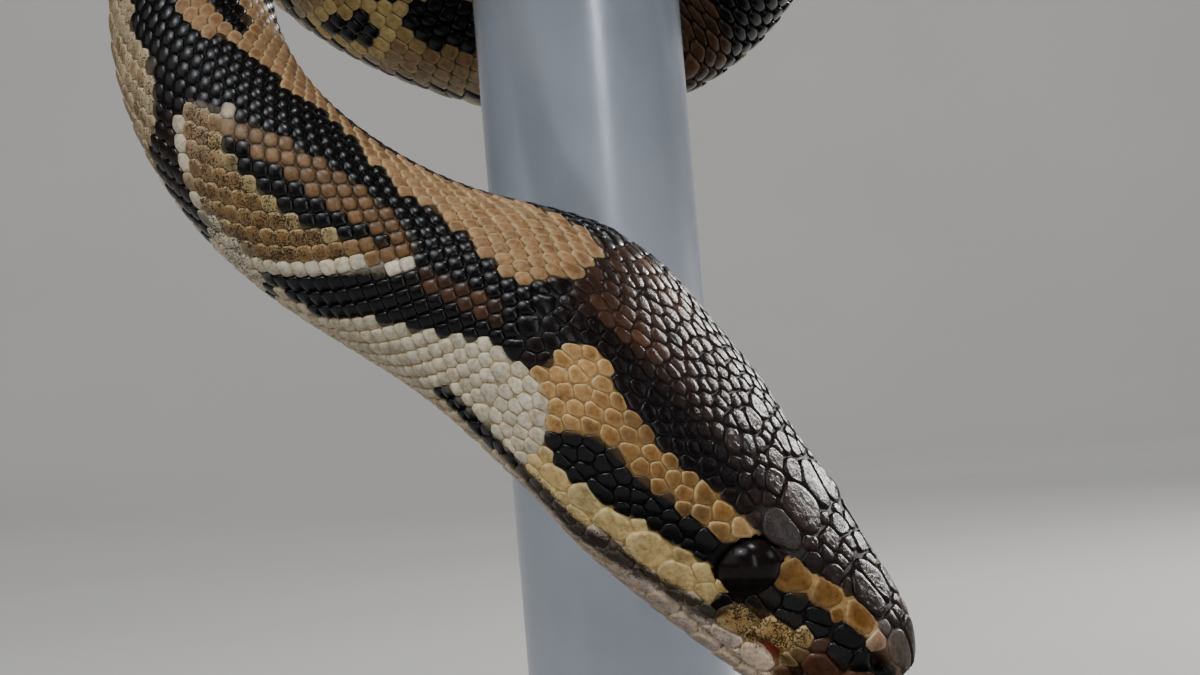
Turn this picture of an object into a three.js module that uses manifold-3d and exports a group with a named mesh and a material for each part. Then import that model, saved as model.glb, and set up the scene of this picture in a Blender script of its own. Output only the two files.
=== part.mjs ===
// Ball python (Python regius), life size, coiled round a steel tube.
// Its head and neck hang down in front of the tube, facing lower right.
// The tube is a short cut length that serves as a perch, and it stands on
// a round display base. Lengths are in millimetres, +Z is up, the tube's
// axis is x = y = 0 and the underside of the base is z = 0.

import * as THREE from 'three';
import { mergeVertices } from 'three/addons/utils/BufferGeometryUtils.js';
import Module from 'manifold-3d';

// ---------------------------------------------------------------- sizes

const PERCH_RADIUS = 11;
const PERCH_BOTTOM = 40;
const PERCH_TOP = 352;
const CAP_HEIGHT = 5;

const BASE_RADIUS = 100;
const BASE_HEIGHT = 14;
const BASE_BEVEL = 2;
const ROD_RADIUS = 5;
const SOCKET_RADIUS = 15;
const SOCKET_HEIGHT = 12;

const SEAT_GAP = 0.3;     // between pieces that touch
const CUT_GAP = 0.3;      // between two lengths of the body

const BODY_LENGTH = 1050; // along the spine, snout to tail tip
const HEAD_END = 46;
const NECK_END = 110;
const TAIL_START = 950;
const TRUNK_LENGTHS = 6;

// Girth down the body. Columns: distance behind the snout, half width,
// height above the spine line, depth below it, level of the greatest
// width, and squareness of the section (2 is a true ellipse).
const GIRTH = [
  [0, 2.2, 2.6, 1.8, -0.4, 2.0],
  [1.5, 4.7, 4.9, 4.3, -0.8, 2.2],
  [4, 6.9, 6.0, 6.4, -1.3, 2.4],
  [8, 8.6, 6.6, 7.9, -1.8, 2.6],
  [13, 9.7, 7.2, 8.8, -2.0, 2.7],
  [18, 10.7, 7.8, 9.5, -2.0, 2.7],
  [25, 12.6, 8.6, 10.2, -1.9, 2.6],
  [32, 14.4, 9.2, 10.6, -1.6, 2.5],
  [38, 14.8, 9.7, 10.5, -1.2, 2.4],
  [44, 14.1, 11.1, 10.4, -0.8, 2.5],
  [51, 12.4, 11.2, 10.2, -0.3, 2.4],
  [60, 10.8, 9.4, 9.9, 0, 2.1],
  [75, 9.6, 9.2, 9.5, 0, 2],
  [95, 8.9, 8.9, 8.9, 0, 2],
  [135, 8.5, 8.5, 8.5, 0, 2],
  [190, 10.0, 10.0, 10.0, 0, 2],
  [280, 13.6, 13.6, 13.6, 0, 2],
  [430, 17.4, 17.4, 17.4, 0, 2],
  [620, 19.4, 19.4, 19.4, 0, 2],
  [800, 18.0, 18.0, 18.0, 0, 2],
  [900, 14.0, 14.0, 14.0, 0, 2],
  [965, 9.8, 9.8, 9.8, 0, 2],
  [1020, 5.8, 5.8, 5.8, 0, 2],
  [1050, 1.6, 1.6, 1.6, 0, 2],
];

// The head is straight: it starts at the snout and runs back along
// HEAD_BACK, with its crown towards HEAD_CROWN.
const SNOUT = [24.9, -33, 63.5];
const HEAD_BACK = [-0.611, 0, 0.792];
const HEAD_CROWN = [0.66, -0.545, 0.519];
const HEAD_STATIONS = [0, 13, 26, 38];

// Places that the spine passes on its way from the head up the left side
// of the tube, over an arch, behind the tube and round its right side,
// each with the direction in which the back of the snake faces there.
const NECK_PLACES = [
  [[-6.0, -31.5, 100.6], [0.55, -0.56, 0.62]],
  [[-17.4, -29.0, 107.9], [0.46, -0.59, 0.66]],
  [[-27.9, -26.0, 115.2], [0.52, -0.62, 0.59]],
  [[-35.2, -21.0, 123.6], [0.69, -0.59, 0.43]],
  [[-39.2, -14.0, 132.8], [0.84, -0.50, 0.19]],
  [[-39.8, -2.0, 144.6], [0.96, -0.09, 0.25]],
  [[-36.6, 9.0, 152.3], [0.68, 0.04, 0.73]],
  [[-31.5, 18.0, 150.0], [0.39, -0.21, 0.90]],
  [[-24.5, 23.0, 143.8], [0.18, -0.40, 0.90]],
  [[-12.1, 25.5, 137.2], [0.07, -0.45, 0.89]],
  [[2.5, 25.0, 134.4], [0.08, -0.32, 0.95]],
  [[13.0, 21.5, 138.7], [0.29, 0.21, 0.93]],
  [[18.9, 14.0, 147.0], [0.79, 0.37, 0.49]],
];

// The coil winds clockwise, seen from above, as it rises to the tail.
const COIL_STATIONS = 16;                 // in one turn
const COIL_LEAN = THREE.MathUtils.degToRad(35); // back faces this far up
const COIL_PRESS = 0.05;                  // how far a turn is squeezed flat
const COIL_SQUARENESS = 2.2;
const COIL_FROM = 215;                    // where the squeeze begins,
const COIL_FULL = 265;                    // and where it is complete
const TURN_GAP = 0.4;
const TURN_TILT = 1.025;                  // a tilted turn is this much taller
const STEP_ROUNDING = 2;
const FIRST_RISE = 8.5;                   // per station, on leaving the neck
const STEADY_RISE = 1.6;                  // per station, first turn
const RISE_FADE = 3;                      // stations
const LEAST_RISE = 1.0;                   // per station, later turns
const SLACK = 0.7;                        // how far turns stand off the tube

// Mouth line: its level against the spine line, by distance behind snout.
const MOUTH_LEVEL = [
  [0, -2.4],
  [6, -3.8],
  [17, -4.7],
  [28, -3.4],
  [HEAD_END, -1.6],
];
const MOUTH_GAP = 0.3;
const JAW_START = 1.2;

const EYE_BACK = 18.2;     // eye centre: behind the snout,
const EYE_SIDE = 7.5;     // to the side,
const EYE_LEVEL = 2.65;   // and above the spine line
const EYE_RADIUS = 3.9;

const RING_SIDES = 18;
const SKULL_SIDES = 20;
const JAW_SIDES = 12;
const HEAD_RINGS = [
  0.15, 0.7, 1.5, 2.6, 4, 6, 8, 10.5, 13, 15.5, 18, 20.5, 23, 26, 29, 32,
  35, 38, 41, 43.5,
];
const NECK_SPACING = 5;
const TRUNK_SPACING = 9;
const TAIL_SPACING = 6;

const FINISH = {
  skin: { color: 0x4a3a2c, roughness: 0.45, metalness: 0 },
  eye: { color: 0x0c0908, roughness: 0.05, metalness: 0 },
  tube: { color: 0x6d747d, roughness: 0.35, metalness: 0.7 },
  cap: { color: 0x1c1d1f, roughness: 0.5, metalness: 0 },
  stand: { color: 0x24262a, roughness: 0.5, metalness: 0.2 },
};

// ------------------------------------------------------------- splines

// Second derivatives of the natural cubic spline through the values.
function splineBends(knots, values) {
  const last = knots.length - 1;
  const bends = new Array(knots.length).fill(0);
  const scratch = new Array(knots.length).fill(0);
  for (let i = 1; i < last; i++) {
    const before = knots[i] - knots[i - 1];
    const after = knots[i + 1] - knots[i];
    const share = before / (before + after);
    const pivot = share * bends[i - 1] + 2;
    const slopeChange = (values[i + 1] - values[i]) / after
      - (values[i] - values[i - 1]) / before;
    bends[i] = (share - 1) / pivot;
    scratch[i] = (6 * slopeChange / (before + after) - share * scratch[i - 1]) / pivot;
  }
  for (let i = last - 1; i > 0; i--) {
    bends[i] = bends[i] * bends[i + 1] + scratch[i];
  }
  bends[0] = 0;
  return bends;
}

// A function of t that runs smoothly through every (knot, value).
function naturalSpline(knots, values) {
  const bends = splineBends(knots, values);
  return (t) => {
    let i = 0;
    while (i < knots.length - 2 && t > knots[i + 1]) i++;
    const span = knots[i + 1] - knots[i];
    const a = (knots[i + 1] - t) / span;
    const b = (t - knots[i]) / span;
    const bow = (a * a * a - a) * bends[i] + (b * b * b - b) * bends[i + 1];
    return a * values[i] + b * values[i + 1] + bow * span * span / 6;
  };
}

function vectorSpline(knots, vectors) {
  const x = naturalSpline(knots, vectors.map((v) => v.x));
  const y = naturalSpline(knots, vectors.map((v) => v.y));
  const z = naturalSpline(knots, vectors.map((v) => v.z));
  return (t) => new THREE.Vector3(x(t), y(t), z(t));
}

// -------------------------------------------------------------- girth

// The girth is splined over the root of the distance, which rounds the
// snout like a ball's end.
const girthKnots = GIRTH.map((row) => Math.sqrt(row[0]));
const girthColumns = [1, 2, 3, 4, 5].map(
  (column) => naturalSpline(girthKnots, GIRTH.map((row) => row[column])));

function girthAt(distance) {
  const root = Math.sqrt(distance);
  const [across, above, below, level, squareness] = girthColumns.map((f) => f(root));
  return { across, above, below, level, squareness };
}

// 0 in the free neck, 1 in the coil, where turns press on each other.
function coilShare(distance) {
  return THREE.MathUtils.smoothstep(distance, COIL_FROM, COIL_FULL);
}

// The section at a distance behind the snout, as a function of the angle
// from the mid-back towards the snake's right: [to the right, to the back].
function sectionAt(distance) {
  const girth = girthAt(distance);
  const share = coilShare(distance);
  const lean = distance > NECK_END ? COIL_LEAN : 0;
  const across = girth.across * (1 - COIL_PRESS * share);
  const above = (girth.above - girth.level) * (1 + COIL_PRESS * share);
  const below = (girth.below + girth.level) * (1 + COIL_PRESS * share);
  const power = girth.squareness + (COIL_SQUARENESS - 2) * share;
  return (angle) => {
    const sine = Math.sin(angle - lean);
    const cosine = Math.cos(angle - lean);
    const depth = cosine >= 0 ? above : below;
    const sum = Math.abs(sine / across) ** power + Math.abs(cosine / depth) ** power;
    const reach = sum ** (-1 / power);
    const side = reach * sine;
    const rise = reach * cosine + girth.level;
    return [
      side * Math.cos(lean) + rise * Math.sin(lean),
      rise * Math.cos(lean) - side * Math.sin(lean),
    ];
  };
}

// -------------------------------------------------------------- spine

function straightHeadPlaces() {
  const snout = new THREE.Vector3(...SNOUT);
  const back = new THREE.Vector3(...HEAD_BACK);
  return HEAD_STATIONS.map((distance) => ({
    point: snout.clone().addScaledVector(back, distance),
    crown: new THREE.Vector3(...HEAD_CROWN),
  }));
}

function neckPlaces() {
  return NECK_PLACES.map(([point, crown]) => ({
    point: new THREE.Vector3(...point),
    crown: new THREE.Vector3(...crown).normalize(),
  }));
}

function pathLength(places) {
  let length = 0;
  for (let i = 1; i < places.length; i++) {
    length += places[i].point.distanceTo(places[i - 1].point);
  }
  return length;
}

// The larger of two heights, with the step between them rounded off.
function roundedMax(a, b) {
  return (a + b + Math.hypot(a - b, STEP_ROUNDING)) / 2;
}

// Each turn lies on the turn below it, once there is one.
function coilPlaces(start, distanceBefore) {
  const places = [];
  const turns = [];
  const turnOfStation = 2 * Math.PI / COIL_STATIONS;
  let angle = Math.atan2(start.point.y, start.point.x);
  let height = start.point.z;
  let last = start.point;
  let distance = distanceBefore;
  let radius = girthAt(distance).across;
  for (let i = 0; distance < BODY_LENGTH + TRUNK_SPACING; i++) {
    const stride = turnOfStation * (PERCH_RADIUS + radius);
    radius = girthAt(Math.min(distance + stride, BODY_LENGTH)).across;
    angle -= turnOfStation;
    const below = turns[i - COIL_STATIONS];
    if (below) {
      const thickness = (1 - COIL_PRESS) * (below.radius + radius) * TURN_TILT;
      const resting = below.height + thickness + TURN_GAP;
      height = roundedMax(height + LEAST_RISE, resting);
    } else {
      height += STEADY_RISE + (FIRST_RISE - STEADY_RISE) * Math.exp(-i / RISE_FADE);
    }
    turns.push({ height, radius });
    const slack = SLACK * (1 + Math.sin(1.7 * angle)) / 2;
    const out = PERCH_RADIUS + SEAT_GAP + slack + (1 + COIL_PRESS) * radius;
    const outward = new THREE.Vector3(Math.cos(angle), Math.sin(angle), 0);
    const point = outward.clone().multiplyScalar(out).setZ(height);
    const crown = outward.multiplyScalar(Math.cos(COIL_LEAN)).setZ(Math.sin(COIL_LEAN));
    distance += point.distanceTo(last);
    last = point;
    places.push({ point, crown });
  }
  return places;
}

// The spine as a function of the distance behind the snout. It gives the
// point, the tailward direction, and the directions to back and right.
function makeSpine() {
  const free = [...straightHeadPlaces(), ...neckPlaces()];
  const places = [...free, ...coilPlaces(free[free.length - 1], pathLength(free))];
  const knots = [0];
  for (let i = 1; i < places.length; i++) {
    knots.push(knots[i - 1] + places[i].point.distanceTo(places[i - 1].point));
  }
  const pointAt = vectorSpline(knots, places.map((place) => place.point));
  const crownAt = vectorSpline(knots, places.map((place) => place.crown));

  const step = 0.25;
  const marks = [{ t: 0, travelled: 0 }];
  let previous = pointAt(0);
  for (let t = step; t <= knots[knots.length - 1]; t += step) {
    const point = pointAt(t);
    const travelled = marks[marks.length - 1].travelled + point.distanceTo(previous);
    marks.push({ t, travelled });
    previous = point;
  }
  const knotAt = (distance) => {
    let low = 0;
    let high = marks.length - 1;
    while (high - low > 1) {
      const middle = (low + high) >> 1;
      if (marks[middle].travelled <= distance) low = middle;
      else high = middle;
    }
    const reach = marks[high].travelled - marks[low].travelled;
    return marks[low].t + step * (distance - marks[low].travelled) / reach;
  };

  return (distance) => {
    const t = knotAt(distance);
    const tailward = pointAt(t + step).sub(pointAt(t - step)).normalize();
    const back = crownAt(t);
    back.addScaledVector(tailward, -back.dot(tailward)).normalize();
    const right = new THREE.Vector3().crossVectors(back, tailward);
    return { point: pointAt(t), tailward, back, right };
  };
}

const spineAt = makeSpine();

// ------------------------------------------------------------- meshing

// A point of the body from its place on the spine and in the section.
function place(distance, side, rise) {
  const spine = spineAt(distance);
  return spine.point
    .addScaledVector(spine.right, side)
    .addScaledVector(spine.back, rise);
}

// Closed surface through rings of equal count, with a fan on each end.
function loft(rings) {
  const count = rings[0].length;
  const positions = rings.flat().flatMap((p) => [p.x, p.y, p.z]);
  const index = [];
  for (let r = 0; r < rings.length - 1; r++) {
    for (let i = 0; i < count; i++) {
      const a = r * count + i;
      const b = r * count + (i + 1) % count;
      index.push(a, a + count, b, b, a + count, b + count);
    }
  }
  const addFan = (ring, start, isFirst) => {
    const centre = positions.length / 3;
    const middle = ring.reduce((sum, p) => sum.add(p), new THREE.Vector3());
    middle.divideScalar(count);
    positions.push(middle.x, middle.y, middle.z);
    for (let i = 0; i < count; i++) {
      const a = start + i;
      const b = start + (i + 1) % count;
      index.push(...(isFirst ? [centre, a, b] : [centre, b, a]));
    }
  };
  addFan(rings[0], 0, true);
  addFan(rings[rings.length - 1], (rings.length - 1) * count, false);
  const geometry = new THREE.BufferGeometry();
  geometry.setAttribute('position', new THREE.Float32BufferAttribute(positions, 3));
  geometry.setIndex(index);
  return geometry;
}

function bodyRing(distance) {
  const section = sectionAt(distance);
  const ring = [];
  for (let i = 0; i < RING_SIDES; i++) {
    const [side, rise] = section(2 * Math.PI * i / RING_SIDES);
    ring.push(place(distance, side, rise));
  }
  return ring;
}

function bodyLength(from, to, spacing) {
  const steps = Math.ceil((to - from) / spacing);
  const rings = [];
  for (let i = 0; i <= steps; i++) {
    rings.push(bodyRing(from + (to - from) * i / steps));
  }
  return loft(rings);
}

const mouthLevelAt = naturalSpline(
  MOUTH_LEVEL.map((row) => row[0]), MOUTH_LEVEL.map((row) => row[1]));

// The angle at which the section's right side crosses a level.
function angleAtLevel(section, level) {
  let low = 0;
  let high = Math.PI;
  for (let i = 0; i < 40; i++) {
    const middle = (low + high) / 2;
    if (section(middle)[1] > level) low = middle;
    else high = middle;
  }
  return low;
}

// The part of a head section above the mouth line, or the part below it.
function headRing(distance, isUpper) {
  const section = sectionAt(distance);
  const shift = isUpper ? MOUTH_GAP / 2 : -MOUTH_GAP / 2;
  const edge = angleAtLevel(section, mouthLevelAt(distance) + shift);
  const sides = isUpper ? SKULL_SIDES : JAW_SIDES;
  const from = isUpper ? -edge : edge;
  const sweep = isUpper ? 2 * edge : 2 * (Math.PI - edge);
  const ring = [];
  for (let i = 0; i <= sides; i++) {
    const [side, rise] = section(from + sweep * i / sides);
    ring.push(place(distance, side, rise));
  }
  return ring;
}

function headHalf(isUpper, start) {
  const distances = [...HEAD_RINGS.filter((d) => d >= start), HEAD_END - CUT_GAP / 2];
  return loft(distances.map((distance) => headRing(distance, isUpper)));
}

// ------------------------------------------------------------- cutting

const wasm = await Module();
wasm.setup();

function toManifold(geometry) {
  const bare = geometry.clone();
  bare.deleteAttribute('normal');
  bare.deleteAttribute('uv');
  const merged = mergeVertices(bare);
  return new wasm.Manifold(new wasm.Mesh({
    numProp: 3,
    vertProperties: new Float32Array(merged.attributes.position.array),
    triVerts: new Uint32Array(merged.index.array),
  }));
}

function fromManifold(solid) {
  const mesh = solid.getMesh();
  const geometry = new THREE.BufferGeometry();
  geometry.setAttribute('position', new THREE.BufferAttribute(mesh.vertProperties, 3));
  geometry.setIndex(new THREE.BufferAttribute(mesh.triVerts, 1));
  return geometry;
}

function eyeball(sign, radius) {
  const centre = place(EYE_BACK, sign * EYE_SIDE, EYE_LEVEL);
  return new THREE.SphereGeometry(radius, 18, 12).translate(centre.x, centre.y, centre.z);
}

function skull() {
  let solid = toManifold(headHalf(true, 0));
  for (const sign of [-1, 1]) {
    solid = solid.subtract(toManifold(eyeball(sign, EYE_RADIUS + SEAT_GAP)));
  }
  return fromManifold(solid);
}

// --------------------------------------------------- perch and its stand

// A solid of revolution about the tube's axis, from [radius, z] corners
// that begin and end on the axis, going up.
function turned(corners, sides = 64) {
  const profile = corners.map(([radius, z]) => new THREE.Vector2(radius, z));
  return new THREE.LatheGeometry(profile, sides).rotateX(Math.PI / 2);
}

function disc(radius, bottom, top, bevel = 0, sides = 64) {
  return turned([
    [0, bottom],
    [radius - bevel, bottom],
    ...(bevel ? [[radius, bottom + bevel], [radius, top - bevel]] : []),
    [radius - bevel, top],
    [0, top],
  ], sides);
}

// --------------------------------------------------------------- model

const model = new THREE.Group();

function addPart(name, geometry, finish) {
  const mesh = new THREE.Mesh(geometry, new THREE.MeshStandardMaterial(finish));
  mesh.name = name;
  model.add(mesh);
}

addPart('head', skull(), FINISH.skin);
addPart('lower_jaw', headHalf(false, JAW_START), FINISH.skin);
addPart('eye_left', eyeball(-1, EYE_RADIUS), FINISH.eye);
addPart('eye_right', eyeball(1, EYE_RADIUS), FINISH.eye);
addPart('neck', bodyLength(HEAD_END + CUT_GAP / 2, NECK_END - CUT_GAP / 2, NECK_SPACING),
  FINISH.skin);

const trunkLength = (TAIL_START - NECK_END) / TRUNK_LENGTHS;
for (let i = 0; i < TRUNK_LENGTHS; i++) {
  const from = NECK_END + i * trunkLength + CUT_GAP / 2;
  const to = NECK_END + (i + 1) * trunkLength - CUT_GAP / 2;
  addPart(`trunk_${i + 1}`, bodyLength(from, to, TRUNK_SPACING), FINISH.skin);
}
addPart('tail', bodyLength(TAIL_START + CUT_GAP / 2, BODY_LENGTH, TAIL_SPACING), FINISH.skin);

addPart('perch_pole', disc(PERCH_RADIUS, PERCH_BOTTOM, PERCH_TOP, 0, 48), FINISH.tube);
addPart('perch_cap', disc(PERCH_RADIUS, PERCH_TOP + SEAT_GAP,
  PERCH_TOP + SEAT_GAP + CAP_HEIGHT, 1.2, 48), FINISH.cap);

const socketTop = PERCH_BOTTOM - SEAT_GAP;
const socketBottom = socketTop - SOCKET_HEIGHT;
addPart('stand_socket', disc(SOCKET_RADIUS, socketBottom, socketTop, 1, 48), FINISH.stand);
addPart('stand_rod', disc(ROD_RADIUS, BASE_HEIGHT + SEAT_GAP, socketBottom - SEAT_GAP, 0, 32),
  FINISH.stand);
addPart('stand_base', disc(BASE_RADIUS, 0, BASE_HEIGHT, BASE_BEVEL, 72), FINISH.stand);

export default model;
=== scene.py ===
"""Looks of a life-size ball python coiled round a steel tube.

The snake is thought of as laid straight first. A place on it is given by
its distance behind the snout and by its angle round the body, in degrees
from the mid-back towards the snake's right. Straight places are bent to
the coiled pose at the end. Lengths are in millimetres until a mesh is
made, and in metres from there on.
"""

import math
import bpy
import numpy as np
from mathutils import Matrix, Vector
from mathutils.kdtree import KDTree


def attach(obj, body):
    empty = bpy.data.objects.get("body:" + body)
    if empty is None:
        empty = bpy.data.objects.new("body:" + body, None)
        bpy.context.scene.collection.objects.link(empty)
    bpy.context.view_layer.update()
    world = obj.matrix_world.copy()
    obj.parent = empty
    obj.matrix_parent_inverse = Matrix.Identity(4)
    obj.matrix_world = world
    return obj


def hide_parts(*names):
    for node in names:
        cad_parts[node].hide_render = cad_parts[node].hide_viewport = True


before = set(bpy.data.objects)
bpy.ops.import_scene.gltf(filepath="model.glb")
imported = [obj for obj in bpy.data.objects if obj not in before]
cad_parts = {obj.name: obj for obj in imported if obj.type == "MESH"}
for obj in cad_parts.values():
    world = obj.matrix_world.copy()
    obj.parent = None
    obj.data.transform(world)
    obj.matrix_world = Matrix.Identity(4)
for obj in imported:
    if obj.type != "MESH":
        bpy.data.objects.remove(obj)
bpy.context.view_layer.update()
random = np.random.default_rng(11)
MM = 0.001

# ------ camera


def add_object(name, data):
    made = bpy.data.objects.new(name, data)
    bpy.context.scene.collection.objects.link(made)
    return made


CAMERA_PLACE = (-0.4, -391.8, 100.0)
CAMERA_ROLL = math.radians(4.78)
CAMERA_LENS = 110.0


def make_camera():
    data = bpy.data.cameras.new("camera")
    data.lens = CAMERA_LENS
    data.sensor_width = 36
    data.clip_start = 0.01
    data.clip_end = 50
    camera = add_object("camera", data)
    right = Vector((math.cos(CAMERA_ROLL), 0, -math.sin(CAMERA_ROLL)))
    up = Vector((math.sin(CAMERA_ROLL), 0, math.cos(CAMERA_ROLL)))
    turn = Matrix((right, up, right.cross(up))).transposed()
    camera.matrix_world = Matrix.LocRotScale(Vector(CAMERA_PLACE) * MM, turn, None)
    bpy.context.scene.camera = camera


make_camera()

# ------ sizes of the snake

BODY_LENGTH = 1050.0
NECK_END = 110.0
PERCH_RADIUS = 11.0
SEAT_GAP = 0.3

# Distance, half width, height above the spine, depth below it, level of
# the greatest width, and squareness of the section. Further back the
# sections are round.
GIRTH = [
    (0, 2.2, 2.6, 1.8, -0.4, 2.0),
    (1.5, 4.7, 4.9, 4.3, -0.8, 2.2),
    (4, 6.9, 6.0, 6.4, -1.3, 2.4),
    (8, 8.6, 6.6, 7.9, -1.8, 2.6),
    (13, 9.7, 7.2, 8.8, -2.0, 2.7),
    (18, 10.7, 7.8, 9.5, -2.0, 2.7),
    (25, 12.6, 8.6, 10.2, -1.9, 2.6),
    (32, 14.4, 9.2, 10.6, -1.6, 2.5),
    (38, 14.8, 9.7, 10.5, -1.2, 2.4),
    (44, 14.1, 11.1, 10.4, -0.8, 2.5),
    (51, 12.4, 11.2, 10.2, -0.3, 2.4),
    (60, 10.8, 9.4, 9.9, 0, 2.1),
    (75, 9.6, 9.2, 9.5, 0, 2),
] + [(s, radius, radius, radius, 0, 2) for s, radius in (
    (95, 8.9), (135, 8.5), (190, 10.0), (280, 13.6), (430, 17.4), (620, 19.4),
    (800, 18.0), (900, 14.0), (965, 9.8), (1020, 5.8), (1050, 1.6),
)]

SNOUT = (24.9, -33, 63.5)
HEAD_BACK = (-0.611, 0, 0.792)
HEAD_CROWN = (0.66, -0.545, 0.519)
HEAD_STATIONS = (0, 13, 26, 38)

# Places that the spine passes after the head, and where the back faces.
NECK_PLACES = [
    ((-6.0, -31.5, 100.6), (0.55, -0.56, 0.62)),
    ((-17.4, -29.0, 107.9), (0.46, -0.59, 0.66)),
    ((-27.9, -26.0, 115.2), (0.52, -0.62, 0.59)),
    ((-35.2, -21.0, 123.6), (0.69, -0.59, 0.43)),
    ((-39.2, -14.0, 132.8), (0.84, -0.50, 0.19)),
    ((-39.8, -2.0, 144.6), (0.96, -0.09, 0.25)),
    ((-36.6, 9.0, 152.3), (0.68, 0.04, 0.73)),
    ((-31.5, 18.0, 150.0), (0.39, -0.21, 0.90)),
    ((-24.5, 23.0, 143.8), (0.18, -0.40, 0.90)),
    ((-12.1, 25.5, 137.2), (0.07, -0.45, 0.89)),
    ((2.5, 25.0, 134.4), (0.08, -0.32, 0.95)),
    ((13.0, 21.5, 138.7), (0.29, 0.21, 0.93)),
    ((18.9, 14.0, 147.0), (0.79, 0.37, 0.49)),
]

COIL_STATIONS = 16
COIL_LEAN = math.radians(35)
COIL_PRESS = 0.05
COIL_SQUARENESS = 2.2
COIL_FROM = 215.0
COIL_FULL = 265.0
TURN_GAP = 0.4
TURN_TILT = 1.025
STEP_ROUNDING = 2.0
FIRST_RISE = 8.5
STEADY_RISE = 1.6
RISE_FADE = 3.0
LEAST_RISE = 1.0
SLACK = 0.7
SLACK_WAVES = 1.7
TRUNK_SPACING = 9.0

MOUTH_LEVEL = [(0, -2.4), (6, -3.8), (17, -4.7), (28, -3.4), (46, -1.6)]
MOUTH_CORNER = 33.0

EYE_BACK = 18.2
EYE_SIDE = 7.5
EYE_LEVEL = 2.65
EYE_RADIUS = 3.9

# ------ smooth functions


def smoothstep(x, low, high):
    t = np.clip((x - low) / (high - low), 0, 1)
    return t * t * (3 - 2 * t)


def natural_spline(knots, values):
    """A smooth function through the values, which may be vectors."""
    knots = np.asarray(knots, float)
    values = np.asarray(values, float)
    flat = values.reshape(len(knots), -1)
    last = len(knots) - 1
    gap = np.diff(knots)
    system = np.zeros((last + 1, last + 1))
    target = np.zeros_like(flat)
    system[0, 0] = system[last, last] = 1
    for i in range(1, last):
        system[i, i - 1:i + 2] = gap[i - 1], 2 * (gap[i - 1] + gap[i]), gap[i]
        rise = (flat[i + 1] - flat[i]) / gap[i]
        target[i] = 6 * (rise - (flat[i] - flat[i - 1]) / gap[i - 1])
    bends = np.linalg.solve(system, target)

    def at(query):
        query = np.asarray(query, float)
        q = query.reshape(-1)
        k = np.clip(np.searchsorted(knots, q) - 1, 0, last - 1)
        span = gap[k][:, None]
        a = (knots[k + 1] - q)[:, None] / span
        b = (q - knots[k])[:, None] / span
        bow = (a ** 3 - a) * bends[k] + (b ** 3 - b) * bends[k + 1]
        found = a * flat[k] + b * flat[k + 1] + bow * span * span / 6
        return found.reshape(query.shape + values.shape[1:])

    return at


def round_angles(sides):
    return np.arange(sides) * 2 * math.pi / sides


def unit(v):
    return v / np.linalg.norm(v, axis=-1, keepdims=True)


def dot(a, b):
    return np.sum(a * b, axis=-1)


# ------ the body's section

girth_rows = np.array(GIRTH, float)
girth_over_root = natural_spline(np.sqrt(girth_rows[:, 0]), girth_rows[:, 1:])

# What section_norm says of a place before the snout.
WELL_OUTSIDE = 9.0


def axes_at(s, grow):
    """Half axes of the section, with its level, power and lean."""
    girth = girth_over_root(np.sqrt(np.clip(s, 0, BODY_LENGTH)))
    share = smoothstep(s, COIL_FROM, COIL_FULL)
    across = girth[..., 0] * (1 - COIL_PRESS * share) + grow
    above = (girth[..., 1] - girth[..., 3]) * (1 + COIL_PRESS * share) + grow
    below = (girth[..., 2] + girth[..., 3]) * (1 + COIL_PRESS * share) + grow
    power = girth[..., 4] + (COIL_SQUARENESS - 2) * share
    lean = np.where(s > NECK_END, COIL_LEAN, 0.0)
    return across, above, below, girth[..., 3], power, lean


def straight_place(s, degrees, grow=0.0):
    """Place in the straight snake: behind the snout, right, towards back."""
    s, degrees, grow = np.broadcast_arrays(
        np.asarray(s, float), np.asarray(degrees, float), np.asarray(grow, float))
    across, above, below, level, power, lean = axes_at(s, grow)
    angle = np.radians(degrees) - lean
    sine, cosine = np.sin(angle), np.cos(angle)
    depth = np.where(cosine >= 0, above, below)
    total = np.abs(sine / across) ** power + np.abs(cosine / depth) ** power
    reach = total ** (-1 / power)
    side = reach * sine
    rise = reach * cosine + level
    x = side * np.cos(lean) + rise * np.sin(lean)
    z = rise * np.cos(lean) - side * np.sin(lean)
    return np.stack([s, x, z], -1)


def in_section(place, level, lean):
    """How far a place lies to the side and upwards in its leaning section."""
    side = place[..., 1] * np.cos(lean) - place[..., 2] * np.sin(lean)
    rise = place[..., 1] * np.sin(lean) + place[..., 2] * np.cos(lean) - level
    return side, rise


def section_norm(place, grow):
    """1 on the grown surface, less inside it and more outside."""
    s = place[..., 0]
    across, above, below, level, power, lean = axes_at(s, grow)
    side, rise = in_section(place, level, lean)
    depth = np.where(rise >= 0, above, below)
    norm = np.abs(side / across) ** power + np.abs(rise / depth) ** power
    return np.where(s < 0, WELL_OUTSIDE, norm ** (1 / power))


def degrees_of(place):
    """Angle round the body at which a place lies."""
    _, _, _, level, _, lean = axes_at(place[..., 0], 0.0)
    side, rise = in_section(place, level, lean)
    return np.degrees(np.arctan2(side, rise) + lean)


def wrapped(degrees):
    """The same angle, between -180 and 180."""
    return (degrees + 180) % 360 - 180


def from_back(degrees):
    """The angle on either side of the mid-back."""
    return np.abs(wrapped(degrees))


def tangents(s, degrees):
    """Unit directions tailward, rightward round the body, and outward."""
    step = 0.05
    here = straight_place(s, degrees)
    tailward = unit(straight_place(s + step, degrees) - here)
    around = straight_place(s, degrees + 0.5) - straight_place(s, degrees - 0.5)
    around = unit(around - tailward * dot(around, tailward)[..., None])
    return tailward, around, unit(np.cross(tailward, around))


# ------ the spine


def free_places():
    back = np.array(HEAD_BACK, float)
    points = [np.array(SNOUT, float) + back * d for d in HEAD_STATIONS]
    crowns = [np.array(HEAD_CROWN, float) for _ in HEAD_STATIONS]
    for point, crown in NECK_PLACES:
        points.append(np.array(point, float))
        crowns.append(unit(np.array(crown, float)))
    return points, crowns


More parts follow.
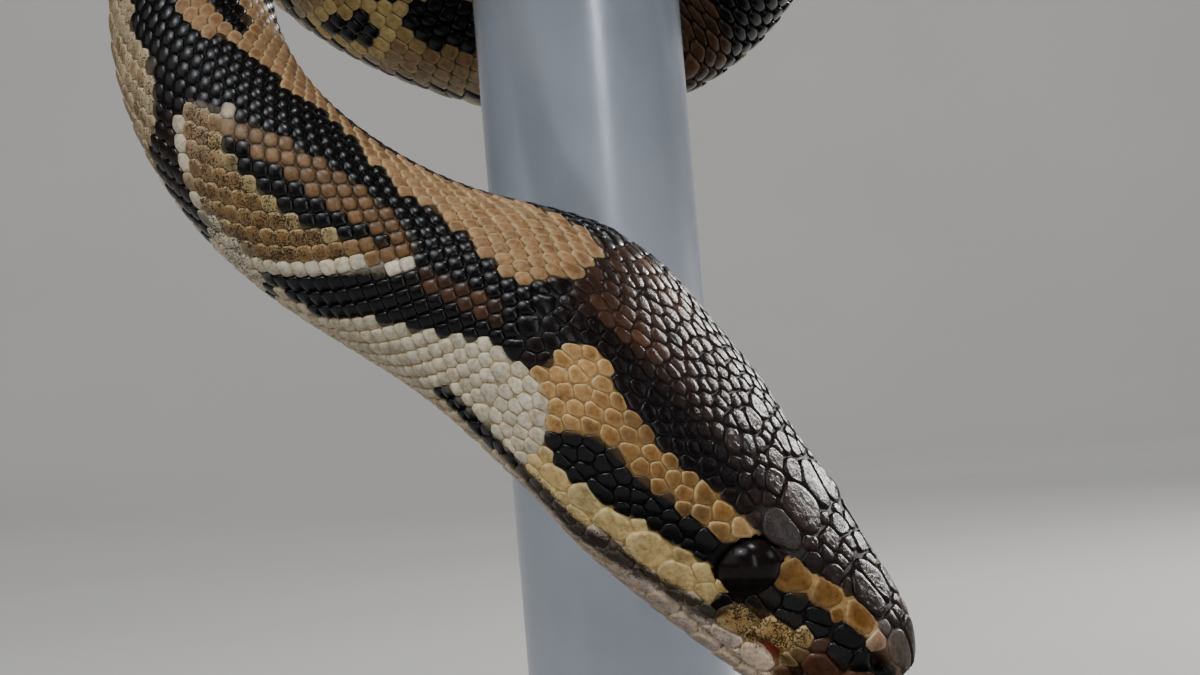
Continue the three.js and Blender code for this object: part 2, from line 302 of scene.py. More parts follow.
def half_width(distance):
    return float(girth_over_root(math.sqrt(min(distance, BODY_LENGTH)))[0])


def add_coil(points, crowns):
    """Turns wind clockwise, seen from above, each lying on the last."""
    distance = sum(math.dist(a, b) for a, b in zip(points, points[1:]))
    angle = math.atan2(points[-1][1], points[-1][0])
    height = points[-1][2]
    turns = []
    station = 2 * math.pi / COIL_STATIONS
    radius = half_width(distance)
    while distance < BODY_LENGTH + TRUNK_SPACING:
        i = len(turns)
        radius = half_width(distance + station * (PERCH_RADIUS + radius))
        angle -= station
        if i >= COIL_STATIONS:
            below_height, below_radius = turns[i - COIL_STATIONS]
            thickness = (1 - COIL_PRESS) * (below_radius + radius) * TURN_TILT
            rest = below_height + thickness + TURN_GAP
            step = height + LEAST_RISE
            height = (step + rest + math.hypot(step - rest, STEP_ROUNDING)) / 2
        else:
            fade = math.exp(-i / RISE_FADE)
            height += STEADY_RISE + (FIRST_RISE - STEADY_RISE) * fade
        turns.append((height, radius))
        slack = SLACK * (1 + math.sin(SLACK_WAVES * angle)) / 2
        out = PERCH_RADIUS + SEAT_GAP + slack + (1 + COIL_PRESS) * radius
        outward = np.array([math.cos(angle), math.sin(angle), 0])
        point = outward * out + np.array([0, 0, height])
        lean = np.array([0, 0, math.sin(COIL_LEAN)])
        crowns.append(outward * math.cos(COIL_LEAN) + lean)
        distance += math.dist(point, points[-1])
        points.append(point)


def make_spine():
    points, crowns = free_places()
    add_coil(points, crowns)
    strides = [math.dist(a, b) for a, b in zip(points, points[1:])]
    knots = np.concatenate([[0], np.cumsum(strides)])
    point_at = natural_spline(knots, np.array(points))
    crown_at = natural_spline(knots, np.array(crowns))
    step = 0.25
    t = np.arange(0, knots[-1], step)
    point = point_at(t)
    travelled = np.concatenate([[0], np.cumsum(np.linalg.norm(np.diff(point, axis=0), axis=1))])
    tail = unit(point_at(t + step) - point_at(t - step))
    back = crown_at(t)
    back = unit(back - tail * dot(back, tail)[:, None])
    return travelled, point, tail, back, np.cross(back, tail)


spine = make_spine()


def bend(place):
    """From the straight snake to the coiled one."""
    travelled, point, tail, back, right = spine
    s = place[..., 0]
    on = np.clip(s, 0, BODY_LENGTH)

    def along(columns):
        return np.stack([np.interp(on, travelled, c) for c in columns.T], -1)

    found = along(point) + along(right) * place[..., 1:2]
    return found + along(back) * place[..., 2:3] + along(tail) * (s - on)[..., None]


# ------ colour pattern


def shade(red, green, blue):
    """A colour of 0 to 255 parts as the eye reads them, made linear."""
    c = np.array([red, green, blue], float) / 255
    return np.where(c <= 0.04045, c / 12.92, ((c + 0.055) / 1.055) ** 2.4)


BLACK = shade(9, 6, 6)
CROWN_BROWN = shade(36, 24, 21)
NAPE_BROWN = shade(52, 34, 26)
TAN = shade(166, 130, 92)
BLOTCH_TAN = shade(130, 98, 64)
GOLD = shade(156, 116, 64)
GOLD_PALE = shade(188, 148, 96)
CREAM = shade(222, 196, 132)
WHITE = shade(216, 206, 184)
BELLY = shade(214, 200, 174)
LIP = shade(216, 198, 184)
LIP_GOLD = shade(208, 174, 116)
LIP_BROWN = shade(82, 52, 34)
MOTTLE_BROWN = shade(26, 14, 8)
FLANK = shade(178, 160, 132)
PIT_RED = shade(134, 52, 34)
CHEEK = shade(238, 212, 150)
WARM_BROWN = shade(104, 70, 48)
LIP_FRONT = shade(238, 216, 194)
SNOUT_GOLD = shade(136, 98, 50)
# Painted sheen: the brow plate is lighter grey than its own dark colour, for the broad
# reflection on it.
BROW_SHEEN_GREY = shade(78, 70, 68)
# Painted sheen on the nose ridge: grey on its upper part. The plates by the nostril are pale
# pink of their own, lightened further as painted sheen.
NOSE_SHEEN_GREY = shade(104, 92, 86)
NOSTRIL_PINK_AND_SHEEN = shade(176, 146, 124)
GOLD_BRIGHT = shade(206, 178, 130)
BLOTCH_REAR = shade(138, 108, 76)
BLOTCH_LOW = shade(140, 112, 74)
BLOTCH_END = shade(156, 130, 102)
BLOTCH_HALO = shade(186, 170, 122)
BAR_BROWN = shade(24, 15, 10)
# Painted shade along the underside of the strand behind the perch.
STRAND_UNDER_SHADE = shade(44, 30, 20)
STRAND_BROWN = shade(66, 44, 26)
# Painted shade in the sunk skin: mouth line, nostril, pits and lore.
PAINTED_HOLLOW_SHADE = shade(40, 24, 20)

# Each patch: distance behind the snout, and its upper and lower edge in
# degrees from the mid-back.
TEMPLE_GOLD = [
    (20, 45, 47), (20.8, 44, 52), (22, 44, 58.5), (24, 46, 60), (26, 46.5, 61.5),
    (28, 49.5, 64), (30, 53, 67), (32, 55.5, 69), (36, 56, 70), (37.5, 55.5, 72),
    (38.5, 53, 75), (39.5, 50, 79), (40.5, 47, 80), (42.5, 46, 72), (43.3, 49, 70),
    (44, 57, 69), (44.4, 61, 66),
]
EYE_STRIPE = [
    (21.5, 59, 72), (24, 60, 74.5), (26, 61.5, 77), (28, 64, 80), (30, 67, 82),
    (32, 69, 85.5), (34, 69.5, 89), (36, 70, 90.5), (37.5, 72, 92), (39, 77.5, 91),
    (40.3, 82, 88.5), (40.7, 85, 86),
]
CHEEK_CREAM = [
    (18.4, 76, 88), (20, 74, 90.5), (22, 72, 92), (24, 74, 94), (26, 76, 95),
    (28, 79, 96), (30, 81, 97.5), (32, 84, 99.5), (34, 88, 101), (36, 90, 102),
    (39, 90, 102), (40.3, 85, 102), (41, 68, 102),
]
CHEEK_WHITE = [
    (40.5, 78, 102), (42, 66, 102.5), (44, 67, 103), (46, 70, 103), (50, 69, 104),
    (52, 71, 104), (54, 76, 106), (56, 80, 140), (58, 83, 140), (60, 86, 140),
    (62, 91, 138), (64, 98, 132), (65.5, 106, 122), (66, 111, 113),
]
CANTHAL_GOLD = [
    (5.3, 22, 33), (6, 20.5, 36), (8, 21, 38), (10, 23, 42), (11, 26, 44),
    (12, 28.5, 46), (13, 32, 49), (14, 35, 52), (15, 37, 54), (16, 39, 51),
    (17, 41, 45),
]
LORE_BLACK = [
    (1.5, 28, 60), (4, 36, 58), (6, 37, 57), (8, 38, 60), (10, 42, 63.5),
    (12, 46, 66), (14, 52, 68), (16, 50, 72), (17.3, 45, 78),
]
LIP_LINE = [
    (16.8, 74, 96), (18.4, 88, 98), (20, 90.5, 99), (22, 92, 100), (24, 94, 101.5),
    (26, 95, 103), (28, 96, 105), (30, 97.5, 107.5), (32, 99.5, 110), (34, 101, 111),
    (38, 102, 111), (46, 103, 109), (50, 104, 108), (54, 105, 107),
]
DORSAL_STRIPE = [(s, -90, edge) for s, edge in (
    (47.2, 12), (47.8, 27), (49, 36), (50.5, 38), (53, 37), (55, 34), (57, 28), (60, 20),
    (63, 13), (66, 9), (69, 2), (72, -6), (75, -11), (78, -11), (81, -7), (83, 1), (86, 7),
    (88.5, 11), (90.5, 17), (92, 28), (93.5, 42), (96, 55), (99, 64), (102, 62), (106, 46),
    (112, 30), (118, 10), (124, -20),
)]
DORSAL_STREAK = [
    (93, -40, -32), (95, -44, -27), (97, -46, -20), (100, -48, -3), (104, -46, 2),
    (110, -40, -4), (116, -30, -14),
]
DORSAL_SPOT = [
    (93.4, 20, 22), (94.3, 15, 28), (95.3, 14, 33), (98, 15, 39), (101, 16, 40),
    (104, 18, 38), (106, 24, 32),
]
SIDE_BLOTCH = [
    (61, 46, 55), (62, 40, 60), (64, 32, 66), (66, 28, 73), (69, 24, 83),
    (71, 22, 91), (72.5, 22, 99), (73.5, 23, 110), (74.5, 25, 142), (78, 29, 142),
    (80, 34, 124), (81.5, 38, 112), (83, 43, 105), (84.5, 48, 100), (86, 55, 94),
    (87, 60, 85), (88.2, 67, 72),
]
BLOTCH_SPOT = [
    (64.3, 45, 47), (66, 44, 52), (68, 45, 56), (70, 46, 59), (72, 45, 63),
    (74, 44, 64), (76, 44.5, 62.5), (78, 47, 63), (79.5, 51, 66), (81, 54, 65),
    (82.7, 57, 60),
]
FLANK_PATCH = [
    (88.2, 116, 142), (89, 100, 142), (90.5, 91, 142), (92.5, 87, 142), (95, 89, 142),
    (98, 99, 142), (101.5, 103, 142), (106, 105, 142), (112, 108, 142), (120, 112, 142),
]
FLANK_BAR = [
    (80.2, 112, 131), (82, 106, 133), (84, 100, 136), (86, 94, 137), (88, 88, 133),
    (89.5, 86, 118),
]
MID_BACK = [
    (0, -6), (18, -6), (30, 0), (50, 0), (75, -20), (95, -12), (120, 0), (BODY_LENGTH, 0),
]

BLOTCH_MM_PER_DEGREE = 0.16

# How far the body rolls over, and between which distances.
ROLLS = [(-20, 118, 146), (84, 158, 198), (-64, 206, 270)]

# The repeated markings further back.
MARKS_FROM = 112.0
MARKS_BLEND = MARKS_FROM - 12
MARK_STRIDE = 47.0
MARK_COUNT = 20


def curve(rows, s, column):
    table = np.array(rows, float)
    return np.interp(s, table[:, 0], table[:, column])


def inside(rows, s, degrees, soft=0.6):
    """1 inside a patch and 0 outside, with an edge `soft` degrees wide."""
    table = np.array(rows, float)
    ends = (s >= table[0, 0]) & (s <= table[-1, 0])
    top = smoothstep(degrees - curve(rows, s, 1), -soft / 2, soft / 2)
    bottom = smoothstep(curve(rows, s, 2) - degrees, -soft / 2, soft / 2)
    return top * bottom * ends


def paint(colour, mask, paint_colour):
    mask = np.asarray(mask)[..., None]
    return colour * (1 - mask) + paint_colour * mask


def roll_at(s):
    """The body lies rolled over where it passes behind the perch."""
    return sum(degrees * smoothstep(s, low, high) for degrees, low, high in ROLLS)


mark_shift = random.uniform(-5, 5, (2, MARK_COUNT))
mark_half = random.uniform(15, 20, (2, MARK_COUNT))
mark_top = random.uniform(34, 44, (2, MARK_COUNT))
mark_centre = MARKS_FROM + MARK_STRIDE * (np.arange(MARK_COUNT) + 0.62) + mark_shift
mark_centre[:, :3] = [[140, 180, 226], [138, 171, 214]]
mark_half[:, :3] = [[13, 13, 17], [15.5, 16, 17]]
mark_top[1, 1] = 48
mark_waist = np.full((2, MARK_COUNT), 0.38)
mark_waist[1, :2] = 0.04


def oval(x, y, soft):
    return smoothstep(1 - np.hypot(x, y), -soft, soft)


def side_mark(colour, s, turn, side, k):
    """One tan blotch with a pale rim, a white foot and two black spots."""
    half, top = mark_half[side, k], mark_top[side, k]
    u = (s - mark_centre[side, k]) / half
    narrowing = mark_waist[side, k] * smoothstep(turn, 72, 112)
    waist = 1 - narrowing + 0.1 * np.sin(0.11 * turn + k)
    above = np.clip((82 - turn) / (82 - top), 0, 2)
    reach = (np.abs(u / waist) ** 2.6 + above ** 2.6) ** (1 / 2.6)
    mask = smoothstep(1 - reach, -0.02, 0.02)
    rim = mask * smoothstep(reach, 0.80, 0.86)
    colour = paint(colour, mask, TAN)
    colour = paint(colour, mask * smoothstep(turn, 84, 120), FLANK)
    colour = paint(colour, rim, CREAM * 0.9)
    shift = 0.04 * np.sin(5.0 * k)
    for place, size in ((-0.36, 0.2), (0.34, 0.17)):
        spot = oval((u - place - shift) / size, (turn - 63 - 4 * np.sin(k)) / 9, 0.05)
        colour = paint(colour, mask * spot, BLACK)
    return colour


def back_mark(colour, s, degrees, k):
    """One tan saddle on the back, between the blotches of the sides."""
    u = (s - mark_centre[0, k] - MARK_STRIDE / 2 - 4 * np.sin(3.0 * k)) / 15
    reach = np.hypot(u, degrees / (19 + 6 * np.sin(2.0 * k)))
    mask = smoothstep(1 - reach, -0.03, 0.03)
    colour = paint(colour, mask, TAN)
    return paint(colour, mask * smoothstep(reach, 0.78, 0.85), TAN * 0.7 + WHITE * 0.3)


def band(x, low, high, soft=6.0):
    """1 between two values and 0 outside them."""
    return smoothstep(x, low, low + soft) * (1 - smoothstep(x, high - soft, high))


def strand_marks(colour, s, degrees):
    """The markings where the body first passes behind the perch, and painted shade along the
    lower edge of its left side.
    """
    left = degrees < 0
    reach = np.hypot((s - 167.5) / 9.5, (degrees + 60) / 24)
    colour = paint(colour, left * band(reach, 0.94, 1.14, 0.04), CREAM * 0.8)
    colour = paint(colour, left * smoothstep(0.97 - reach, 0, 0.05), BLACK)
    # Painted shade along the lower edge of the left side.
    low = left * band(s, 120, 190) * band(-degrees, 122, 152)
    colour = paint(colour, low, STRAND_UNDER_SHADE)
    side = band(s, 176, 206) * band(np.abs(degrees), 98, 156)
    return paint(colour, side, STRAND_BROWN)


def repeated_marks(s, degrees, colour):
    """Blotches on each side and a broken stripe on the back, tailward."""
    turn = np.abs(degrees)
    right = degrees >= 0
    plain = colour
    for k in range(MARK_COUNT):
        on_right = side_mark(colour, s, turn, 0, k)
        on_left = side_mark(colour, s, turn, 1, k)
        colour = np.where(right[..., None], on_right, on_left)
        colour = back_mark(colour, s, degrees, k)
    colour = np.where((s > MARKS_BLEND)[..., None], colour, plain)
    colour = strand_marks(colour, s, degrees)
    belly = smoothstep(turn, 132, 139) * smoothstep(s, MARKS_BLEND, MARKS_FROM)
    belly = belly * (1 - band(s, 176, 206) * (1 - smoothstep(turn, 150, 158)))
    return paint(colour, belly, BELLY)


def side_of(s, degrees):
    """Angle from the mid-back of the markings, which wanders a little."""
    middle = curve(MID_BACK, s, 1)
    degrees = wrapped(degrees)
    return np.where(degrees < middle, 2 * middle - degrees, degrees)


def paint_all(colour, layers):
    """Paints each mask in turn with its own colour."""
    for mask, tint in layers:
        colour = paint(colour, mask, tint)
    return colour


def paint_crown(colour, s, turn):
    """Brown crown and nape, black towards the temples."""
    top = (s < 47.2) & (turn < 66)
    dark = smoothstep(turn, 25, 38) * smoothstep(s, 22, 28)
    warm = 0.36 * band(s, 49.5, 61, 3) * band(turn, 50, 65, 4)
    warm = np.maximum(warm, 0.3 * band(s, 37, 46, 3) * band(turn, 12, 34, 6))
    return paint_all(colour, [
        (top, CROWN_BROWN),
        (smoothstep(s, 30, 40) * top, NAPE_BROWN),
        (0.85 * dark * top, BLACK),
        (warm, WARM_BROWN),
    ])


def on_lips(s, turn):
    return (s < 41) & (turn > 55) & (turn < 118)


def on_golden_lip(s, turn):
    return (s < 17.3) & (turn > 56) & (turn < 97 - 0.9 * np.clip(s - 7, 0, 9))


def on_brow(s, turn):
    return band(s, 15.4, 22.6, 1) * band(turn, 27, 41, 2)


def on_snout(s):
    return smoothstep(9.5 - s, -1.0, 1.0)


def paint_face(colour, s, turn):
    """Lips, lore, brow and nose, with painted sheen on the brow plate and the nose ridge."""
    lip, golden = on_lips(s, turn), on_golden_lip(s, turn)
    nose = smoothstep(6.6 - s, 0, 1.2)
    return paint_all(colour, [
        (lip & (turn > 90), LIP),
        (lip & (turn > 88) & (s < 13.5), LIP_FRONT),
        (golden, LIP_GOLD),
        (golden * on_snout(s), LIP_BROWN),
        (inside(LORE_BLACK, s, turn), BLACK),
        (inside(CANTHAL_GOLD, s, turn), SNOUT_GOLD),
        # Painted sheen on the brow plate.
        (on_brow(s, turn), BROW_SHEEN_GREY),
        # Painted sheen on the nose ridge, and on the pale pink plates by the nostril.
        (nose * band(turn, 8, 22, 3) * 0.8, NOSE_SHEEN_GREY),
        (nose * band(turn, 21, 37, 3), NOSTRIL_PINK_AND_SHEEN),
    ])


def paint_temple(colour, s, turn):
    """Pale cheek, gold temple, and the stripe behind the eye."""
    gold = inside(TEMPLE_GOLD, s, turn)
    return paint_all(colour, [
        (inside(CHEEK_CREAM, s, turn), CHEEK),
        (inside(CHEEK_WHITE, s, turn), WHITE),
        (gold, GOLD),
        (gold * smoothstep(s, 35, 40), GOLD_PALE),
        (gold * band(s, 14, 23.5, 3) * 0.7, GOLD_BRIGHT),
        (inside(EYE_STRIPE, s, turn), BLACK),
    ])


def above_foot(s, turn):
    """Millimetres from the lower edge of the neck's blotch."""
    return (curve(SIDE_BLOTCH, s, 2) - turn) * BLOTCH_MM_PER_DEGREE


def paint_neck(colour, s, turn, degrees):
    """Stripe on the back, and the oval blotch with its pale edge."""
    reaches = (degrees > -14 - 2.5 * (s - 49)) | (s > 60)
    blotch = inside(SIDE_BLOTCH, s, turn)
    foot = above_foot(s, turn)
    crest = (turn - curve(SIDE_BLOTCH, s, 1)) * BLOTCH_MM_PER_DEGREE
    halo = inside(BLOTCH_SPOT, s - 1.5, turn - 4.5)
    return paint_all(colour, [
        (inside(DORSAL_STRIPE, s, turn) * reaches, TAN),
        (inside(DORSAL_STREAK, s, degrees), BLACK),
        (inside(DORSAL_SPOT, s, turn), BLACK),
        (blotch, BLOTCH_TAN),
        (blotch * smoothstep(s, 67, 75), BLOTCH_REAR),
        (blotch * smoothstep(turn, 58, 68), BLOTCH_LOW),
        (blotch * smoothstep(s, 77, 86), BLOTCH_END),
        (blotch * smoothstep(turn, 96, 108), WHITE),
        (blotch * (foot < 1.35) * (s < 74.5), WHITE),
        (blotch * (crest < 1.3) * smoothstep(s, 83, 84.5) * 0.9, WHITE),
        (blotch * (foot < 1.3) * (s > 83.5) * 0.9, WHITE),
        (0.8 * halo * blotch, BLOTCH_HALO),
        (inside(BLOTCH_SPOT, s, turn), BLACK),
        (inside(FLANK_PATCH, s, turn), FLANK),
        (inside(FLANK_BAR, s, turn, 3), BAR_BROWN),
    ])


def speck_at(s, turn):
    """How far the skin is speckled with black."""
    blotch = inside(SIDE_BLOTCH, s, turn) * (above_foot(s, turn) > 1.5)
    return np.maximum.reduce([
        blotch * (0.22 + 0.36 * smoothstep(turn, 54, 66)),
        0.75 * on_golden_lip(s, turn) * (1 - 0.7 * on_snout(s)),
        0.45 * inside(FLANK_PATCH, s, turn),
        0.3 * on_lips(s, turn) * (turn > 97),
        0.14 * inside(TEMPLE_GOLD, s, turn),
        0.5 * on_brow(s, turn),
        0.12 * inside(CANTHAL_GOLD, s, turn),
    ])


def markings(s, degrees):
    """Colour of the skin, and how far it is speckled with black."""
    s, degrees = np.broadcast_arrays(np.asarray(s, float), np.asarray(degrees, float))
    degrees = wrapped(degrees - roll_at(s))
    turn = side_of(s, degrees)
    colour = np.broadcast_to(BLACK, s.shape + (3,)).copy()
    if np.max(s) > MARKS_BLEND:
        colour = repeated_marks(s, degrees, colour)
    belly_from = np.where(s < 73, 112, 134)
    colour = paint(colour, (s < 118) & (turn > belly_from), BELLY)
    for paint_part in (paint_crown, paint_face, paint_temple):
        colour = paint_part(colour, s, turn)
    return paint_neck(colour, s, turn, degrees), speck_at(s, turn)


def leather(s, degrees):
    """How leathery a scale is: the plates of the crown are."""
    turn = from_back(degrees)
    return (1 - smoothstep(turn, 38, 56)) * (1 - smoothstep(s, 40, 50))


def dusky_share(s, degrees):
    """How far a scale's edge is dark and not pale: it is high on the blotch."""
    turn = side_of(s, degrees - roll_at(s))
    return inside(SIDE_BLOTCH, s, turn) * (1 - smoothstep(turn, 50, 60))


def lip_stain(s, degrees):
    """Brown mottling that runs along the upper lip, whatever the scales."""
    turn = from_back(degrees)
    return 0.9 * inside(LIP_LINE, s, turn, 3.0)


# ------ head relief

mouth_level_at = natural_spline([r[0] for r in MOUTH_LEVEL], [r[1] for r in MOUTH_LEVEL])


def mouth_degrees(s):
    """Angle at which the mouth line crosses the right side."""
    table = np.linspace(60, 150, 181)
    heights = straight_place(np.asarray(s, float)[..., None], table)[..., 2]
    over = heights > mouth_level_at(s)[..., None]
    return table[np.sum(over, axis=-1).clip(0, 180)]


# Spots: distance, angle, half length, half width, and depth or height.
NOSTRIL = (3.1, 38.5, 0.95, 0.75, 1.5)
PITS = [
    (11.2, 85.5, 1.5, 0.55, 0.8),
    (7.4, 92.0, 0.7, 0.45, 0.7),
    (4.4, 96.0, 0.55, 0.45, 0.6),
]
HOLLOWS = [NOSTRIL] + PITS
# Gentler shapes: the brow stands out, and the lore is sunk.
SWELLINGS = [(19, 41, 4.2, 1.1, 0.35), (10, 54, 4.0, 1.6, -0.45)]
MOUTH_HALF_WIDTH = 0.28
MOUTH_DEPTH = 0.6

COAT_DEPTH_KNOTS = [
    (0, 0.28), (48, 0.3), (110, 0.34), (250, 0.45), (800, 0.5), (1000, 0.3), (1050, 0.2),
]


def coat_depth(s):
    """How deep the skin lies under the plain section, below the scales."""
    return curve(COAT_DEPTH_KNOTS, s, 1)


def millimetres_per_degree(s, degrees):
    place = straight_place(s, degrees)
    level = axes_at(np.asarray(s, float), 0.0)[3]
    return np.hypot(place[..., 1], place[..., 2] - level) * math.pi / 180


def reach_from(s, degrees, spot):
    """Distance from a spot's middle, where 1 is its edge."""
    centre, angle, half_length, half_across, _ = spot
    across = (from_back(degrees) - angle) * millimetres_per_degree(s, degrees)
    return np.hypot((s - centre) / half_length, across / half_across)


def hollow(s, degrees, spot):
    return spot[4] * np.exp(-reach_from(s, degrees, spot) ** 4 * 0.5)


def relief(s, degrees):
    """How far the skin stands out of the plain section, in millimetres."""
    out = np.zeros(np.broadcast(s, degrees).shape)
    for spot in SWELLINGS:
        out = out + spot[4] * np.exp(-reach_from(s, degrees, spot) ** 2)
    mouth = from_back(degrees) - mouth_degrees(s)
    mouth = mouth * millimetres_per_degree(s, degrees) / MOUTH_HALF_WIDTH
    open_share = 1 - smoothstep(s, MOUTH_CORNER - 3, MOUTH_CORNER)
    out = out - MOUTH_DEPTH * np.exp(-mouth ** 2) * open_share
    for spot in HOLLOWS:
        out = out - hollow(s, degrees, spot)
    return np.where(s < 48, out, 0.0)


# ------ materials


def new_material(name):
    material = bpy.data.materials.new(name)
    material.use_nodes = True
    tree = material.node_tree
    return material, tree, tree.nodes["Principled BSDF"]


def node(tree, kind, **settings):
    made = tree.nodes.new(kind)
    for key, value in settings.items():
        setattr(made, key, value)
    return made


def set_inputs(made, **values):
    for key, value in values.items():
        made.inputs[key.replace("_", " ")].default_value = value


def object_noise(tree, scale, detail=4.0, roughness=0.55, distortion=0.0):
    where = node(tree, "ShaderNodeTexCoord")
    noise = node(tree, "ShaderNodeTexNoise")
    set_inputs(noise, Scale=scale, Detail=detail, Roughness=roughness,
               Distortion=distortion)
    tree.links.new(where.outputs["Object"], noise.inputs["Vector"])
    return noise.outputs["Fac"]


def feed(tree, socket, value):
    """Links a socket to another one, or sets it to a plain value."""
    if isinstance(value, bpy.types.NodeSocket):
        tree.links.new(value, socket)
    else:
        socket.default_value = value


def ramp(tree, source, low, high, from_value, to_value):
    made = node(tree, "ShaderNodeMapRange")
    set_inputs(made, From_Min=low, From_Max=high, To_Min=from_value, To_Max=to_value)
    tree.links.new(source, made.inputs["Value"])
    return made.outputs["Result"]


def bumped(tree, shader, height, strength, distance):
    bump = node(tree, "ShaderNodeBump")
    feed(tree, bump.inputs["Strength"], strength)
    bump.inputs["Distance"].default_value = distance
    tree.links.new(height, bump.inputs["Height"])
    tree.links.new(bump.outputs["Normal"], shader.inputs["Normal"])


def set_surface(tree, shader, colour, roughness):
    feed(tree, shader.inputs["Base Color"], colour)
    feed(tree, shader.inputs["Roughness"], roughness)


def attribute(tree, name):
    return node(tree, "ShaderNodeAttribute", attribute_name=name)


def mixed(tree, blend, factor, a, b):
    """A colour mix. Factor and colours may be sockets or plain values."""
    mix = node(tree, "ShaderNodeMix", data_type="RGBA", blend_type=blend)
    feed(tree, mix.inputs[0], factor)
    feed(tree, mix.inputs[6], a)
    feed(tree, mix.inputs[7], b)
    return mix.outputs[2]


def maths(tree, operation, a, b):
    made = node(tree, "ShaderNodeMath", operation=operation)
    feed(tree, made.inputs[0], a)
    feed(tree, made.inputs[1], b)
    return made.outputs[0]


def cloudy(tree, scale, detail, low, high):
    """A value that drifts between two over the surface."""
    return ramp(tree, object_noise(tree, scale, detail), 0.3, 0.7, low, high)


def clouded(tree, colour, *cloud):
    """A colour that drifts in brightness."""
    return mixed(tree, "MULTIPLY", 1.0, colour, cloudy(tree, *cloud))


def speckled(tree, colour, speck):
    """Dark grains, in clusters, wherever the skin is speckled."""
    grains = object_noise(tree, 5200, 2, 0.6)
    amount = maths(tree, "MULTIPLY", speck, cloudy(tree, 700, 2, 0.4, 1.3))
    threshold = maths(tree, "SUBTRACT", 0.69, maths(tree, "MULTIPLY", amount, 0.38))
    over = maths(tree, "SUBTRACT", grains, threshold)
    spot = ramp(tree, over, 0.0, 0.09, 0.0, 0.9)
    spot = maths(tree, "MULTIPLY", spot, ramp(tree, speck, 0.05, 0.2, 0.0, 1.0))
    return mixed(tree, "MIX", spot, colour, (0.018, 0.009, 0.004, 1))


def scale_finish(tree, coat):
    """Roughness, gloss and wrinkling of a scale. Pale scales are duller."""
    worn = attribute(tree, "leather").outputs["Fac"]
    grey = node(tree, "ShaderNodeRGBToBW")
    tree.links.new(coat, grey.inputs["Color"])
    rough = ramp(tree, grey.outputs["Val"], 0.02, 0.2, 0.25, 0.46)
    rough = maths(tree, "ADD", rough, cloudy(tree, 1500, 4, -0.03, 0.08))
    rough = maths(tree, "ADD", rough, maths(tree, "MULTIPLY", worn, -0.03))
    gloss = ramp(tree, grey.outputs["Val"], 0.02, 0.2, 0.25, 0.15)
    gloss = maths(tree, "SUBTRACT", gloss, maths(tree, "MULTIPLY", worn, 0.14))
    return rough, gloss, ramp(tree, worn, 0.0, 1.0, 0.06, 0.45)


def coat_material(name, is_scale):
    """Snakeskin: its own markings, black specks, and a soft gloss."""
    material, tree, shader = new_material(name)
    coat = attribute(tree, "coat").outputs["Color"]
    speck = attribute(tree, "speck").outputs["Fac"]
    colour = clouded(tree, coat, 900, 4, 0.76, 1.2)
    stains = object_noise(tree, 1900, 5, 0.6)
    stained = ramp(tree, stains, 0.45, 0.66, 0.0, 0.8)
    colour = mixed(tree, "MULTIPLY", stained, colour, (0.66, 0.53, 0.38, 1))
    if is_scale:
        rough, gloss, wrinkling = scale_finish(tree, coat)
    else:
        rough, gloss, wrinkling = cloudy(tree, 1500, 4, 0.5, 0.7), 0.2, 0.3
    bumped(tree, shader, object_noise(tree, 1500, 7, 0.62, 0.8), wrinkling, 0.0002)
    set_surface(tree, shader, speckled(tree, colour, speck), rough)
    feed(tree, shader.inputs["Specular IOR Level"], gloss)
    return material


# ------ meshes


def make_piece(name, vertices, blocks, material):
    """A smooth mesh piece from metre places and blocks of like faces."""
    mesh = bpy.data.meshes.new(name)
    mesh.vertices.add(len(vertices))
    mesh.vertices.foreach_set("co", np.asarray(vertices, np.float32).ravel())
    corners = np.concatenate([b.ravel() for b in blocks]).astype(np.int32)
    sizes = np.concatenate([np.full(len(b), b.shape[1]) for b in blocks])
    starts = np.concatenate([[0], np.cumsum(sizes)[:-1]]).astype(np.int32)
    mesh.loops.add(len(corners))
    mesh.loops.foreach_set("vertex_index", corners)
    mesh.polygons.add(len(sizes))
    mesh.polygons.foreach_set("loop_start", starts)
    mesh.polygons.foreach_set("use_smooth", np.ones(len(sizes), bool))
    mesh.update(calc_edges=True)
    mesh.validate()
    mesh.materials.append(material)
    piece = add_object(name, mesh)
    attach(piece, "root")
    return piece


def add_colour(mesh, name, values):
    colour = mesh.attributes.new(name, "FLOAT_COLOR", "POINT")
    rgba = np.ones((len(values), 4), np.float32)
    rgba[:, :3] = values
    colour.data.foreach_set("color", rgba.ravel())


def add_number(mesh, name, values):
    number = mesh.attributes.new(name, "FLOAT", "POINT")
    number.data.foreach_set("value", np.asarray(values, np.float32))


def add_bake_map(mesh, vertex_uv):
    layer = mesh.uv_layers.new(name="OFBake")
    corner = np.zeros(len(mesh.loops), np.int32)
    mesh.loops.foreach_get("vertex_index", corner)
    layer.data.foreach_set("uv", vertex_uv[corner].astype(np.float32).ravel())


def grid_faces(rings, sides):
    """Quads between closed rings of equal count."""
    r = np.arange(rings - 1)[:, None]
    i = np.arange(sides)[None, :]
    a = r * sides + i
    b = r * sides + (i + 1) % sides
    return np.stack([a, a + sides, b + sides, b], -1).reshape(-1, 4)


def fan(tip, first, sides, is_flipped=False):
    """Triangles between one vertex and a closed ring."""
    i = np.arange(sides)
    after = (i + 1) % sides
    a, b = (after, i) if is_flipped else (i, after)
    return np.stack([np.full(sides, tip), first + a, first + b], -1)


def dome_faces(count, rings, sides):
    """Faces of many domes, each of them a tip and then its rings."""
    start = (np.arange(count) * (1 + rings * sides))[:, None, None]
    parts = (grid_faces(rings, sides) + 1, fan(0, 1, sides))
    return [(part[None] + start).reshape(-1, part.shape[1]) for part in parts]


